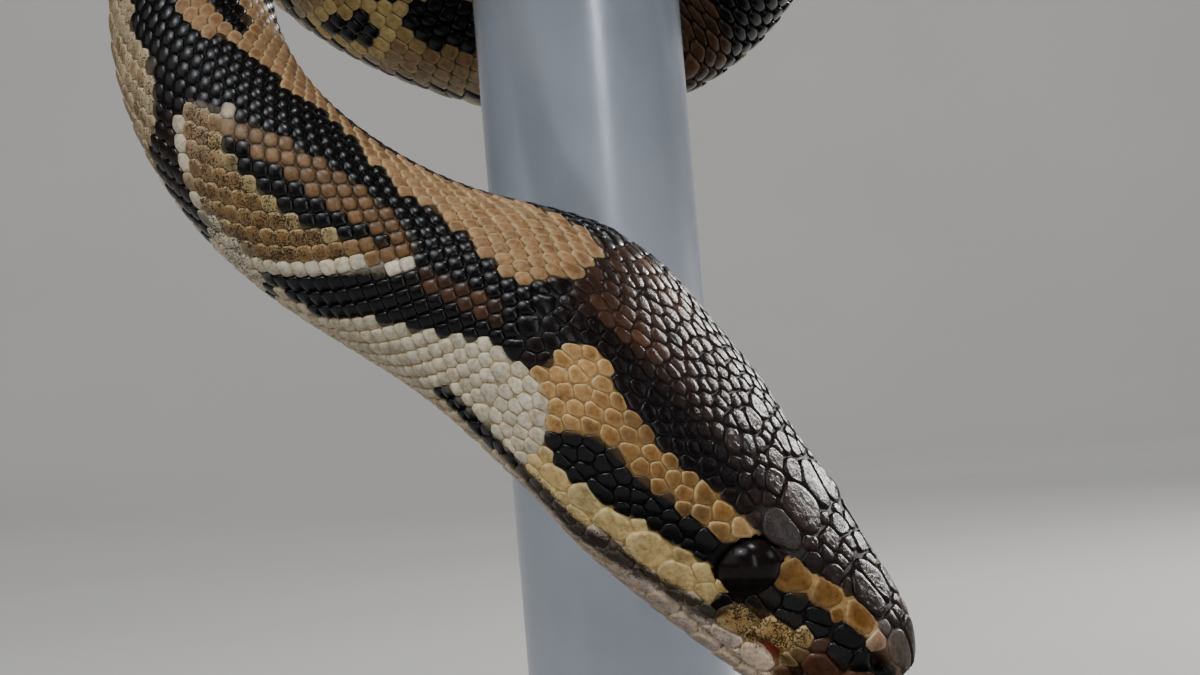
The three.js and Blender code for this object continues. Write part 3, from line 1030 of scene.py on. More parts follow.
def dress(piece, colour, speck, uv):
    """Gives a piece of scales its colours, specks and map."""
    add_colour(piece.data, "coat", colour.reshape(-1, 3))
    add_number(piece.data, "speck", speck.reshape(-1))
    add_bake_map(piece.data, uv.reshape(-1, 2))


# ------ skin

SKIN_SIDES = 168
FLESH = ["head", "lower_jaw", "neck", "tail"] + [f"trunk_{i}" for i in range(1, 7)]
TIP_LENGTH = 5.0


def skin_stations():
    near = np.arange(0.3, 48, 0.35)
    middle = np.arange(48, 118, 0.8)
    far = np.arange(118, BODY_LENGTH - TIP_LENGTH, 3.0)
    tip = BODY_LENGTH - TIP_LENGTH + TIP_LENGTH * np.sin(np.linspace(0, math.pi / 2, 9))
    return np.concatenate([near, middle, far, tip[:-1]])


def tip_share(s):
    """The tail ends in a rounded cone."""
    t = np.clip((s - (BODY_LENGTH - TIP_LENGTH)) / TIP_LENGTH, 0, 1)
    return np.sqrt(1 - t * t)


BALL_RADIUS = EYE_RADIUS * 0.93
# The eye looks straight out from here: distance and angle.
EYE_DIRECTION = (18.9, 60.0)


def eye_frame(sign):
    """Middle of an eyeball, and the direction in which it looks."""
    centre = np.array([EYE_BACK + 0.55, sign * (EYE_SIDE + 0.12), EYE_LEVEL])
    looks_from, looks_at = EYE_DIRECTION
    return centre, tangents(np.array(looks_from), np.array(sign * looks_at))[2]


EYE_SOCKET_RADIUS = BALL_RADIUS + 0.12


def sunk_sockets(place):
    """Carries the skin round the back of each eyeball."""
    for sign in (-1, 1):
        centre, outward = eye_frame(sign)
        offset = place - centre
        height = dot(offset, outward)
        flat = offset - height[..., None] * outward
        reach = np.linalg.norm(flat, axis=-1)
        is_in = (np.linalg.norm(offset, axis=-1) < EYE_SOCKET_RADIUS) & (height > 0)
        rim = np.sqrt(np.clip(EYE_SOCKET_RADIUS ** 2 - height ** 2, 0.01, None))
        start = np.arcsin(np.clip(rim / EYE_SOCKET_RADIUS, 0, 1))
        angle = math.pi - np.clip(reach / rim, 0, 1) * (math.pi - start)
        direction = flat / np.maximum(reach, 1e-6)[..., None]
        bowl = centre + EYE_SOCKET_RADIUS * (
            np.cos(angle)[..., None] * outward + np.sin(angle)[..., None] * direction)
        place = np.where(is_in[..., None], bowl, place)
    return place


def seam_share(s, degrees):
    """Where the seams between scales are shallow and pale."""
    turn = side_of(s, degrees)
    share = inside(CANTHAL_GOLD, s, turn)
    for rows, part in ((TEMPLE_GOLD, 0.5), (CHEEK_CREAM, 0.7), (CHEEK_WHITE, 0.4)):
        share = np.maximum(share, part * inside(rows, s, turn))
    return share


def groove_colour(s, degrees, seam):
    """The skin shows in the grooves between scales, so it is darkened as painted shade; sunk
    skin gets painted shade too, and pale seams stay pale.
    """
    colour, _ = markings(s, degrees)
    # Painted shade: the skin in the grooves is darkened, except on pale seams.
    groove = paint(colour * 0.42 + BLACK * 0.1, 0.8 * seam, 1.0)
    pale = groove * (0.25 * CREAM + 0.75 * colour)
    groove = np.where(seam[..., None] > 0, pale, groove)
    # Painted shade in the sunk skin, deeper where it is sunk more.
    groove = paint(groove, np.clip(-relief(s, degrees), 0, 1), PAINTED_HOLLOW_SHADE)
    for row, tint in zip(PITS, (PIT_RED, LIP_BROWN, LIP_BROWN)):
        groove = paint(groove, hollow(s, degrees, row) / row[4], tint)
    return groove


def make_skin():
    s = skin_stations()[:, None]
    degrees = (np.arange(SKIN_SIDES) * 360 / SKIN_SIDES)[None, :]
    seam = seam_share(s, degrees)
    out = relief(s, degrees) - coat_depth(s) + 0.13 * seam
    place = straight_place(s, degrees, out)
    place = np.concatenate([place[..., :1], place[..., 1:] * tip_share(s)[..., None]], -1)
    rings, sides = place.shape[:2]
    vertices = bend(sunk_sockets(place)).reshape(-1, 3)
    ends = np.stack([vertices[:sides].mean(0), vertices[-sides:].mean(0)])
    vertices = np.concatenate([vertices, ends]) * MM
    front = rings * sides
    faces = [grid_faces(rings, sides), fan(front, 0, sides),
             fan(front + 1, front - sides, sides, True)]
    skin = make_piece("skin", vertices, faces, coat_material("snake_skin", False))
    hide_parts(*FLESH)
    colour = groove_colour(s, degrees, seam).reshape(-1, 3)
    add_colour(skin.data, "coat", np.concatenate([colour, colour[:1], colour[-1:]]))
    add_number(skin.data, "speck", np.zeros(len(vertices)))


make_skin()

# ------ head plates

# Distance behind the snout, angle, half length, half width and, for some,
# turn of the long axis, in degrees from tailward towards the belly.
CROWN_PLATES = [
    (19.4, 8.5, 3.1, 2.4),  # frontal, right
    (20.0, -17.3, 3.3, 1.8),  # frontal, left
    (22.0, -6.8, 2.0, 1.0),  # between the frontals
    (8.6, 10.0, 3.3, 1.6),  # prefrontals
    (9.0, -8.5, 3.2, 1.4),
    (15.2, -13.0, 1.25, 1.5),  # small plates before the frontals
    (14.8, 4.4, 1.2, 1.2, -20),
    (12.9, 0.0, 1.1, 0.8),
    (16.7, -4.7, 0.6, 0.6),
    (12.6, 10.2, 0.85, 0.8),
    (14.25, 17.5, 0.9, 0.75),
    (16.1, 22.7, 1.1, 0.7, 10),
    (23.0, 15.0, 1.45, 1.7, -15),  # behind the frontals
    (24.3, 21.0, 2.0, 0.75, -53),
    (24.5, 1.3, 1.3, 1.1),
    (25.1, -16.0, 1.7, 0.9),
    (24.0, -25.0, 1.9, 0.85),
    (26.6, 5.3, 0.85, 0.95),
    (27.5, 13.8, 1.25, 1.0),
    (26.7, -4.7, 0.95, 0.7),
    (25.2, -8.5, 1.05, 0.5),
    (27.1, -11.7, 1.0, 0.6),
    (28.8, -3.8, 1.6, 1.1),
    (29.2, -17.0, 1.6, 1.1),
    (28.9, 21.0, 1.9, 0.8, -50),
    (26.3, 23.7, 0.8, 0.65),
    (29.6, 6.2, 1.2, 0.95),
]
SIDE_PLATES = [
    (19.05, 33.5, 3.1, 1.75),  # supraocular
    (12.3, 24.0, 1.05, 1.5),
    (14.75, 29.4, 1.0, 1.1),
    (25.1, 31.0, 0.9, 0.75),
    (23.5, 39.7, 1.1, 0.85),
    (28.8, 33.0, 0.85, 0.7),
    (26.6, 37.5, 1.15, 0.85),
    (28.8, 42.5, 1.0, 0.85),
    (2.9, 14.0, 2.2, 1.1),  # internasal
    (4.9, 30.0, 0.9, 1.1),  # behind the nostril
    (1.6, 42.0, 0.8, 0.8),  # before the nostril
    (7.8, 30.0, 2.1, 1.3),  # gold, from the nostril to the eye
    (11.5, 35.5, 1.7, 1.5, 15),
    (9.6, 40.3, 1.3, 0.5, 20),
    (15.0, 45.2, 2.1, 1.5, 10),
    (4.3, 48.7, 1.3, 0.95),  # lore
    (7.1, 44.8, 1.4, 1.0),
    (10.2, 48.5, 1.6, 0.85, 15),
    (13.0, 53.7, 1.2, 1.2, 20),
    (14.9, 61.5, 1.2, 0.8, 20),
    (9.6, 55.0, 1.3, 0.7),
    (12.2, 61.0, 1.3, 0.75),
    (6.3, 57.0, 1.6, 0.9),
    (3.0, 64.0, 1.5, 1.1),
    (9.8, 64.0, 1.0, 0.9),
    (6.6, 71.5, 1.8, 1.3),
    (11.9, 74.0, 2.0, 1.15),  # under the eye
    (15.2, 70.0, 1.7, 0.75),
    (15.6, 85.0, 1.6, 2.0),
    (17.9, 81.0, 0.8, 1.3),
    (19.55, 82.5, 1.15, 0.95, 35),  # cream, behind the eye
    (21.1, 76.9, 1.55, 0.75),
    (23.7, 77.2, 1.25, 0.65),
    (22.5, 87.3, 2.0, 1.35, 12),
    (26.3, 87.8, 2.3, 1.75, 12),
    (30.2, 90.2, 1.9, 1.45, 8),
    (33.8, 91.5, 1.8, 1.2, 5),
    (37.1, 94.0, 1.6, 1.0, 5),
    (33.3, 83.5, 1.6, 0.7, 5),
    (23.2, 65.6, 1.3, 0.95),  # black, behind the eye
    (25.4, 66.3, 1.0, 0.9),
    (22.5, 71.6, 1.2, 0.4),
    (25.9, 73.2, 1.4, 0.8),
    (21.8, 48.9, 1.3, 0.8),  # gold, behind the eye
    (24.5, 50.6, 1.2, 0.8),
    (26.9, 52.3, 1.2, 0.85),
    (23.1, 57.0, 1.3, 0.65),
    (25.7, 58.3, 1.15, 0.75),
]
# Lips: distance and half width. They lie along the mouth line.
UPPER_LABIALS = [
    (1.6, 1.5), (4.3, 1.5), (7.7, 1.5), (11.3, 1.4), (14.9, 1.2), (18.2, 0.8),
    (21.2, 0.6), (24.2, 0.5), (27.2, 0.35),
]
LOWER_LABIALS = [
    (3.0, 1.3), (5.6, 1.4), (8.2, 1.5), (10.7, 1.5), (13.1, 1.5), (15.7, 1.5),
    (18.4, 1.4), (21.3, 1.2), (24.3, 1.1), (27.3, 1.0), (30.3, 0.9), (33.1, 0.8),
]
ROSTRAL = (0.35, 180, 1.15, 2.1)
MENTAL = (2.4, 180, 1.3, 1.5)
EYE_DISC = (19.4, 60, 2.8, 2.8)

LATTICE_FROM = 48.0
FILL_FROM = 5.2
FILL_TO = LATTICE_FROM - 0.6
# Small scales thrown at the head, and how many scales it may hold.
TRIES = 16000
ROOM = 3200
ROWS = 50
TAIL_ROWS = 36
VENT = 950.0
VENTRAL_EDGE = 142.0
LATTICE_TO = 1045.0
PERIOD_KNOTS = [
    (48, 1.65), (52, 1.85), (60, 2.15), (75, 2.5), (110, 3.0), (160, 3.7), (300, 4.7),
    (550, 5.2), (800, 4.9), (950, 3.7), (1010, 2.6), (1050, 1.5),
]


# Wished lengths of the head's small scales, by distance.
CROWN_SIZES = [(6, 1.7), (20, 1.7), (28, 1.5), (34, 1.35), (40, 1.4), (48, 1.5)]
TEMPLE_SIZES = [(6, 1.6), (22, 1.45), (32, 1.32), (40, 1.4), (48, 1.55)]
CHIN_SIZES = [(6, 2.1), (20, 2.2), (48, 1.8)]


class Seeds:
    """Roots of scales: place, half sizes, turn, and distance to the lip."""

    def __init__(self):
        self.rows = []

    def add(self, s, degrees, half_length, half_across, turn=0, lip=0, is_void=False):
        self.rows.append((s, degrees, half_length, half_across, turn, lip, is_void))

    def mirrored(self, s, degrees, half_length, half_across, turn=0, **extra):
        self.add(s, degrees, half_length, half_across, turn, **extra)
        self.add(s, -degrees, half_length, half_across, -turn, **extra)


NEIGHBOURS = 14


def chart_seeds():
    seeds = Seeds()
    for row in CROWN_PLATES:
        seeds.add(*row)
    for row in SIDE_PLATES:
        seeds.mirrored(*row)
    seeds.add(*ROSTRAL)
    seeds.add(*MENTAL)
    seeds.mirrored(*EYE_DISC, is_void=True)
    for row in HOLLOWS:
        seeds.mirrored(row[0], row[1], row[2] * 0.9, row[3] * 0.9, is_void=True)
    for rows, below in ((UPPER_LABIALS, -1), (LOWER_LABIALS, 1)):
        for i, (s, half_across) in enumerate(rows):
            nearest = [abs(s - other[0]) for j, other in enumerate(rows) if j != i]
            half_length = min(nearest) / 2 + 0.1
            lip_angle = float(mouth_degrees(np.array(s)))
            k = float(millimetres_per_degree(s, lip_angle))
            from_lip = below * (half_across + 0.1)
            seeds.mirrored(s, lip_angle + from_lip / k, half_length, half_across,
                           lip=-from_lip)
    return seeds.rows


def scale_size(s, turn):
    """Wished length of a head scale."""
    share = smoothstep(turn, 42, 52)
    size = curve(CROWN_SIZES, s, 1) * (1 - share) + curve(TEMPLE_SIZES, s, 1) * share
    under = smoothstep(turn, 104, 116)
    return size * (1 - under) + curve(CHIN_SIZES, s, 1) * under


def extent(half_length, half_across, angle):
    """Reach of an ellipse in a direction."""
    along, over = np.cos(angle) / half_length, np.sin(angle) / half_across
    return 1 / np.sqrt(along ** 2 + over ** 2)


def period_at(s):
    """Length of one scale along its row."""
    return curve(PERIOD_KNOTS, s, 1)


def lattice_index():
    """Distance behind the snout as a function of the scale count."""
    step = 0.25
    s = np.arange(LATTICE_FROM, BODY_LENGTH, step)
    count = np.concatenate([[0], np.cumsum(step / period_at(s))[:-1]])
    return s, count


def lattice_rows():
    s_table, count = lattice_index()
    found = []
    for first, last, rows in ((LATTICE_FROM, VENT, ROWS), (VENT, LATTICE_TO, TAIL_ROWS)):
        spacing = 2 * VENTRAL_EDGE / rows
        from_count, to_count = np.interp([first, last], s_table, count)
        for row in range(rows):
            place = np.arange(math.ceil(from_count), to_count) + 0.5 * (row % 2)
            s = np.interp(place, count, s_table)
            s = s[(s >= first) & (s < last)]
            degrees = -VENTRAL_EDGE + spacing * (row + 0.5) + roll_at(s)
            period = period_at(s)
            k = millimetres_per_degree(s, degrees)
            across = spacing * k
            half_length = period / 4 + across ** 2 / period
            slant = np.degrees(np.arctan((roll_at(s + 1) - roll_at(s)) * k))
            for values in zip(s, degrees, half_length, across, slant):
                found.append(tuple(values) + (0, False))
    return found


def neighbours_of(place):
    tree = KDTree(len(place))
    for i, p in enumerate(place):
        tree.insert(p, i)
    tree.balance()
    found = np.zeros((len(place), NEIGHBOURS), np.int64)
    for i, p in enumerate(place):
        found[i] = [hit[1] for hit in tree.find_n(p, NEIGHBOURS + 1)[1:]]
    return found


def away_from_length(offset):
    """Angle between a step and the length of the body."""
    return np.arctan2(np.hypot(offset[..., 1], offset[..., 2]), np.abs(offset[..., 0]))


def scatter(near):
    """Throws scales at the head and keeps those that find room."""
    count = len(near)
    try_s = FILL_FROM + (FILL_TO - FILL_FROM) * random.random(TRIES)
    try_degrees = random.uniform(-180, 180, TRIES)
    try_size = scale_size(try_s, np.abs(try_degrees))
    try_place = straight_place(try_s, try_degrees)
    slant = np.where(np.abs(try_degrees) > 50, 14.0, 0.0) * np.sign(try_degrees)
    p = np.full((ROOM, 3), 1e6)
    a, b, r = np.ones(ROOM), np.ones(ROOM), np.zeros(ROOM)
    p[:count] = straight_place(near[:, 0], near[:, 1])
    a[:count], b[:count], r[:count] = near[:, 2], near[:, 3], np.radians(near[:, 4])
    for i in range(TRIES):
        size = try_size[i]
        offset = p[:count] - try_place[i]
        gap = np.linalg.norm(offset, axis=1)
        reach = extent(a[:count], b[:count], away_from_length(offset)) + size * 0.5
        if np.all(gap > (0.86 if try_s[i] < 43 else 0.8) * reach):
            p[count] = try_place[i]
            stretch = 1.16 if 50 < abs(try_degrees[i]) < 100 else 1.05
            a[count], b[count] = 0.52 * size * stretch, 0.5 * size / stretch
            r[count] = math.radians(slant[i])
            count += 1
    return p[:count], a[:count], b[:count], r[:count]


def even_out(p, a, b, first):
    """Pushes the loose scales apart until they lie evenly."""
    for _ in range(36):
        near = neighbours_of(p)[first:]
        offset = p[first:, None, :] - p[near]
        gap = np.linalg.norm(offset, axis=2)
        side = away_from_length(offset)
        own = extent(a[first:, None], b[first:, None], side)
        reach = extent(a[near], b[near], side) + own
        push = np.clip(1.12 * reach - gap, 0, None) / np.maximum(gap, 0.05) * 0.22
        moved = p[first:] + (offset * push[..., None]).sum(1)
        p[first:] = straight_place(np.clip(moved[:, 0], FILL_FROM, FILL_TO), degrees_of(moved))


def fill_head(fixed):
    """Adds small scales between the plates of the head."""
    table = np.array(fixed, float)
    near = table[table[:, 0] < LATTICE_FROM + 5]
    first = len(near)
    p, a, b, r = scatter(near)
    even_out(p, a, b, first)
    found = list(fixed)
    for place, x, y, t in zip(p[first:], a[first:], b[first:], r[first:]):
        found.append((place[0], float(degrees_of(place)), x, y, math.degrees(t), 0, False))
    return found


def scale_seeds():
    rows = fill_head(chart_seeds() + lattice_rows())
    rows.sort(key=lambda row: row[0])
    return np.array(rows, float)


# ------ cells

CORNER_POWER = 12.0
FAR = 1e3
LEAST_WALL = 0.08
# Reach of a scale beyond its own ellipse, and where head meets neck.
SPREAD = 1.7
SEAM_SPREAD = 1.35


def seed_frames(seeds):
    s, degrees = seeds[:, 0], seeds[:, 1]
    place = straight_place(s, degrees, -coat_depth(s))
    return place, *tangents(s, degrees)


def cell_reach(seeds, frames, near, angles):
    """How far each scale reaches in each direction, in its own plane."""
    place, tailward, around, _ = frames
    half_length, half_across, turn = seeds[:, 2], seeds[:, 3], np.radians(seeds[:, 4])
    offset = place[near] - place[:, None, :]
    gap = np.linalg.norm(offset, axis=2)
    x, y = dot(offset, tailward[:, None, :]), dot(offset, around[:, None, :])
    toward = np.arctan2(y, x)
    own = extent(half_length[:, None], half_across[:, None], toward - turn[:, None])
    back_x, back_y = -dot(offset, tailward[near]), -dot(offset, around[near])
    back = np.arctan2(back_y, back_x)
    other = extent(half_length[near], half_across[near], back - turn[near])
    size = np.sqrt(half_length * half_across)
    groove = 0.03 + 0.012 * size
    wall = gap * own / (own + other) - groove[:, None]
    wall = np.clip(wall, LEAST_WALL, FAR)
    lip = seeds[:, 5] * np.where(seeds[:, 1] >= 0, 1, -1)
    lip_wall = np.where(lip == 0, FAR, np.abs(lip) - 0.1)[:, None]
    lip_toward = np.where(lip > 0, math.pi / 2, -math.pi / 2)[:, None]
    wall = np.concatenate([wall, lip_wall], 1)
    toward = np.concatenate([toward, lip_toward], 1)
    facing = np.cos(angles[None, :, None] - toward[:, None, :])
    press = (np.clip(facing, 0, None) / wall[:, None, :]) ** CORNER_POWER
    is_seam = (seeds[:, 0] > 43) & (seeds[:, 0] < 53)
    spread = np.where(is_seam, SEAM_SPREAD, SPREAD)[:, None]
    limit = spread * extent(half_length[:, None], half_across[:, None],
                            angles[None, :] - turn[:, None])
    total = press.sum(2) + (1 / limit) ** CORNER_POWER
    return total ** (-1 / CORNER_POWER)


def onto_head(point, outward):
    """Slides points along a direction until they meet the skin."""
    low = np.full(point.shape[:-1], -4.0)
    high = np.full(point.shape[:-1], 1.5)
    for _ in range(16):
        middle = (low + high) / 2
        probe = point + outward * middle[..., None]
        depth = coat_depth(probe[..., 0])
        is_in = (section_norm(probe, -depth) < 1) & (probe[..., 0] > depth)
        low = np.where(is_in, middle, low)
        high = np.where(is_in, high, middle)
    return point + outward * low[..., None]


def onto_body(point):
    """Moves points to the skin, away from or towards the spine."""
    depth = coat_depth(point[..., 0])
    level = axes_at(point[..., 0], 0.0)[3]
    centre = np.stack([point[..., 0], level * 0, level], -1)
    norm = section_norm(point, -depth)
    flat = (point - centre) / norm[..., None]
    return centre + flat, unit(flat)


# ------ scales as meshes

BODY_PATCH = 0.006
HEAD_PATCH = 0.01
PIECE_LIMIT = 190000
EDGE_DEPTH = 0.12

# How flat the scales' tops are, and how high they are domed, by size.
HEAD_FLATNESS = [(0.5, 2.6), (1.0, 3.6), (1.6, 7.0)]
BODY_FLATNESS = [(0.5, 2.3), (1.0, 2.4), (1.8, 3.0)]
HEAD_DOMES = [(0.4, 0.08), (1.0, 0.12), (1.6, 0.08)]
BODY_DOMES = [(0.4, 0.1), (1.0, 0.2), (1.6, 0.27), (4.0, 0.4)]
FINE_TO = 112.0


def ring_shares(size, is_fine):
    """Shares of the reach at which each scale has rings of vertices."""
    inner = 1 - np.clip(0.24 / size, 0, 0.24)
    outer = 1 - np.clip(0.075 / size, 0, 0.1)
    if is_fine:
        rings = [0.4 + 0 * size, 0.7 + 0 * size, inner, outer, 1 + 0 * size]
    else:
        rings = [0.6 + 0 * size, outer, 1 + 0 * size]
    return np.stack(rings, -1)


def lap_share(s, degrees):
    """How much the scales lap over each other: not on the crown."""
    turn = from_back(degrees)
    return np.maximum(smoothstep(turn, 44, 60), smoothstep(s, 34, 46))


def overlap(angles):
    """How far a scale laps over the next one behind it."""
    return 0.24 * np.clip(np.cos(angles), 0, 1) ** 1.5


def scale_height(size, share, angles, is_head, lap):
    """Height of the scales' rings above the skin."""
    size, lap = size[:, None, None], lap[:, None, None]
    thickness = 0.07 + 0.045 * size + 0.02 * lap
    lean = 0.02 + lap * (0.09 if is_head else 0.13)
    tilt = lean * size * share * np.cos(angles)
    flatness = curve(HEAD_FLATNESS if is_head else BODY_FLATNESS, size, 1)
    dome = curve(HEAD_DOMES if is_head else BODY_DOMES, size, 1)
    height = thickness + dome * (1 - share ** flatness) + tilt
    if is_head:
        rim = 0.055 * smoothstep(size, 0.8, 1.3)
        height = height + rim * np.exp(-((share - 0.86) / 0.07) ** 2)
    return height


def build_scales(seeds, frames, reach, chosen, angles, is_fine):
    """Vertices, faces, and each vertex's share of the reach and angle."""
    place, tailward, around, outward = (f[chosen] for f in frames)
    s, degrees = seeds[chosen, 0], seeds[chosen, 1]
    size = np.sqrt(seeds[chosen, 2] * seeds[chosen, 3])
    shares = ring_shares(size, is_fine)
    count, sides, rings = len(s), len(angles), shares.shape[1]
    direction = (np.cos(angles)[None, :, None] * tailward[:, None, :]
                 + np.sin(angles)[None, :, None] * around[:, None, :])
    is_head = s[0] < LATTICE_FROM
    lap = lap_share(s, degrees)
    own_reach = reach[chosen] * (1 + lap[:, None] * overlap(angles))
    step = direction[:, None] * own_reach[:, None, :, None] * shares[:, :, None, None]
    flat = place[:, None, None, :] + step
    if is_head:
        out = np.broadcast_to(outward[:, None, None, :], flat.shape)
        base = onto_head(flat, out)
        lift = relief(base[..., 0], degrees_of(base))
        centre_lift = relief(s, degrees)
    else:
        base, out = onto_body(flat)
        lift, centre_lift = 0.0, 0.0
    share = shares[:, :, None]
    height = scale_height(size, share, angles[None, None, :], is_head, lap)
    height[:, -1, :] = -EDGE_DEPTH
    ring = base + out * (height + lift)[..., None]
    level = scale_height(size, 0 * share[:, :1], angles[None, None, :1], is_head, lap)
    top = place + outward * (level[:, 0, 0] + centre_lift)[:, None]
    vertices = np.concatenate([top[:, None], ring.reshape(count, rings * sides, 3)], 1)
    edge = np.concatenate([[0.0], np.repeat(shares.mean(0), sides)])
    spin = np.concatenate([[0.0], np.tile(angles, rings)])
    return vertices, dome_faces(count, rings, sides), edge, spin


def varied(colour):
    """Each scale's own brightness and warmth. Dark ones vary the most."""
    count = len(colour)
    tone = random.normal(1.0, 0.07, count).clip(0.8, 1.2)
    is_dark = colour[:, 0].max(-1) < 0.1
    tone = tone * np.where(is_dark, random.lognormal(0, 0.22, count), 1)
    warmth = random.normal(0.0, 0.02, count)[:, None, None] * np.array([1, 0, -1])
    return colour * (tone[:, None, None] + warmth)


def smudged(colour, light, edge):
    """Darker in the middle of each scale, unless the scale is pale."""
    pale = smoothstep(colour.min(-1, keepdims=True), 0.2, 0.36)
    smudge = random.beta(2.2, 2.0, len(colour))[:, None]
    smudge = smudge * (1 - smoothstep(edge, 0.4, 0.93))
    smudge = smudge[..., None] * light * (1 - 0.85 * pale)
    return colour * (1 - smudge * np.array([0.46, 0.54, 0.64]))


def rimmed(colour, light, dusky, edge, spin):
    """A pale rim, strongest at the rear, or a dusky one instead."""
    rim = smoothstep(edge, 0.64, 0.93) * (0.72 + 0.28 * np.cos(spin))
    rim = rim[None, :, None] * light * (1 - dusky)
    colour = colour * (1 - 0.62 * dusky * smoothstep(edge, 0.4, 0.95)[None, :, None])
    colour = colour * (1 - 0.12 * light)
    pale_rim = 0.42 * CREAM + 0.2 * WHITE + 0.3 * colour
    return colour * (1 - 0.66 * rim) + 0.66 * rim * pale_rim


def scale_colours(seeds, chosen, vertices, edge, spin):
    s, degrees = seeds[chosen, 0], seeds[chosen, 1]
    per = vertices.shape[1]
    colour, speck = (np.repeat(f[:, None], per, axis=1) for f in markings(s, degrees))
    if s[0] < FINE_TO:
        own, own_speck = markings(vertices[..., 0], degrees_of(vertices))
        colour = 0.87 * colour + 0.13 * own
        speck = 0.5 * speck + 0.5 * own_speck
    colour = varied(colour)
    light = smoothstep(colour.max(-1, keepdims=True), 0.10, 0.3)
    colour = smudged(colour, light, edge)
    dusky = dusky_share(s, degrees)[:, None, None]
    colour = rimmed(colour, light, dusky, edge, spin)
    if s[0] < LATTICE_FROM:
        stain = lip_stain(vertices[..., 0], degrees_of(vertices))
        colour = paint(colour, stain, MOTTLE_BROWN)
        speck = np.maximum(speck, 0.6 * (stain > 0.02) * (stain < 0.85))
    # Painted shade: the skirt of each scale, where it drops into the groove, is darkened, and
    # less so on pale head scales.
    deep = np.where(s < LATTICE_FROM, 0.45 + 0.35 * light[:, 0, 0], 0.45)
    is_groove = (edge > 0.99)[None, :, None]
    colour = colour * np.where(is_groove, deep[:, None, None], 1.0)
    return colour.clip(0, 1), speck


def bake_places(s, degrees, low, high, edge, spin):
    """Each scale is a small patch at its root on the unwrapped skin."""
    u = 0.01 + 0.98 * (s - low) / (high - low)
    v = 0.01 + 0.98 * ((degrees % 360) / 360)
    across = HEAD_PATCH if high < LATTICE_FROM else BODY_PATCH
    patch = 0.5 * across * np.stack([edge * np.cos(spin), edge * np.sin(spin)], -1)
    return np.stack([u, v], -1)[:, None, :] + patch[None]


def add_scale_piece(name, seeds, frames, reach, chosen, angles, is_fine, material):
    vertices, faces, edge, spin = build_scales(seeds, frames, reach, chosen, angles, is_fine)
    colour, speck = scale_colours(seeds, chosen, vertices, edge, spin)
    s, degrees = seeds[chosen, 0], seeds[chosen, 1]
    uv = bake_places(s, degrees, s.min(), s.max(), edge, spin)
    piece = make_piece(name, bend(vertices.reshape(-1, 3)) * MM, faces, material)
    add_number(piece.data, "leather", np.repeat(leather(s, degrees), vertices.shape[1]))
    dress(piece, colour, speck, uv)


def make_scales(material):
    seeds = scale_seeds()
    frames = seed_frames(seeds)
    near = neighbours_of(frames[0])
    shown = seeds[:, 6] == 0
    zones = [(0, LATTICE_FROM, 18, True), (LATTICE_FROM, FINE_TO, 18, True),
             (FINE_TO, BODY_LENGTH, 12, False)]
    number = 0
    for low, high, sides, is_fine in zones:
        angles = (np.arange(sides) + 0.5) * 2 * math.pi / sides
        reach = cell_reach(seeds, frames, near, angles)
        rings = ring_shares(np.ones(1), is_fine).shape[1]
        triangles = sides * (2 * rings - 1)
        zone = np.nonzero(shown & (seeds[:, 0] >= low) & (seeds[:, 0] < high))[0]
        pieces = math.ceil(len(zone) * triangles / PIECE_LIMIT)
        for part in np.array_split(zone, pieces):
            number += 1
            add_scale_piece(f"scales_{number:02d}", seeds, frames, reach, part, angles,
                            is_fine, material)


scale_material = coat_material("snake_scales", True)
make_scales(scale_material)

# ------ ventral scutes

SCUTE_SIDES = 28
SCUTES_FROM = 49.5
SCUTE_SHARES = (0.5, 0.85, 0.97, 1.0)
SCUTE_HEIGHT = 0.16
SCUTE_GAP = 0.6


def scute_outline(half_length, half_degrees, share):
    angle = round_angles(SCUTE_SIDES)
    cosine, sine = np.cos(angle), np.sin(angle)
    u = np.sign(cosine) * np.abs(cosine) ** 0.45 * share
    v = np.sign(sine) * np.abs(sine) ** 0.45 * share
    return half_length * (u - 0.22 * v * v), half_degrees * v


def scute_rows():
    """Distance, angle, half length, and half width in degrees."""
    s_table, count = lattice_index()
    first, last = np.interp([SCUTES_FROM, LATTICE_TO], s_table, count)
    rows = []
    for place in np.arange(math.ceil(first), last):
        s = float(np.interp(place + 0.25, count, s_table))
        half_length = float(period_at(s)) / 2 - 0.06
        if s < VENT:
            taper = float(smoothstep(s, 40, 60))
            rows.append((s, 180.0, half_length, (180 - VENTRAL_EDGE) * taper - SCUTE_GAP))
        else:
            half = (180 - VENTRAL_EDGE) / 2 - SCUTE_GAP
            rows.append((s, 180 - half - SCUTE_GAP, half_length, half))
            rows.append((s, 180 + half + SCUTE_GAP, half_length, half))
    return rows


def scute_places(s, degrees, half_length, half_degrees):
    """A scute's middle and then its rings."""
    depth = coat_depth(s)
    places = [straight_place(s, degrees + roll_at(s), SCUTE_HEIGHT - depth)[None]]
    for share in SCUTE_SHARES:
        ds, dd = scute_outline(half_length, half_degrees, share)
        out = SCUTE_HEIGHT - 0.06 * share ** 3 + 0.08 * ds / half_length
        out = out if share < 1 else -SCUTE_HEIGHT
        turned = degrees + dd + roll_at(s + ds)
        places.append(straight_place(s + ds, turned, out - depth))
    return np.concatenate(places)


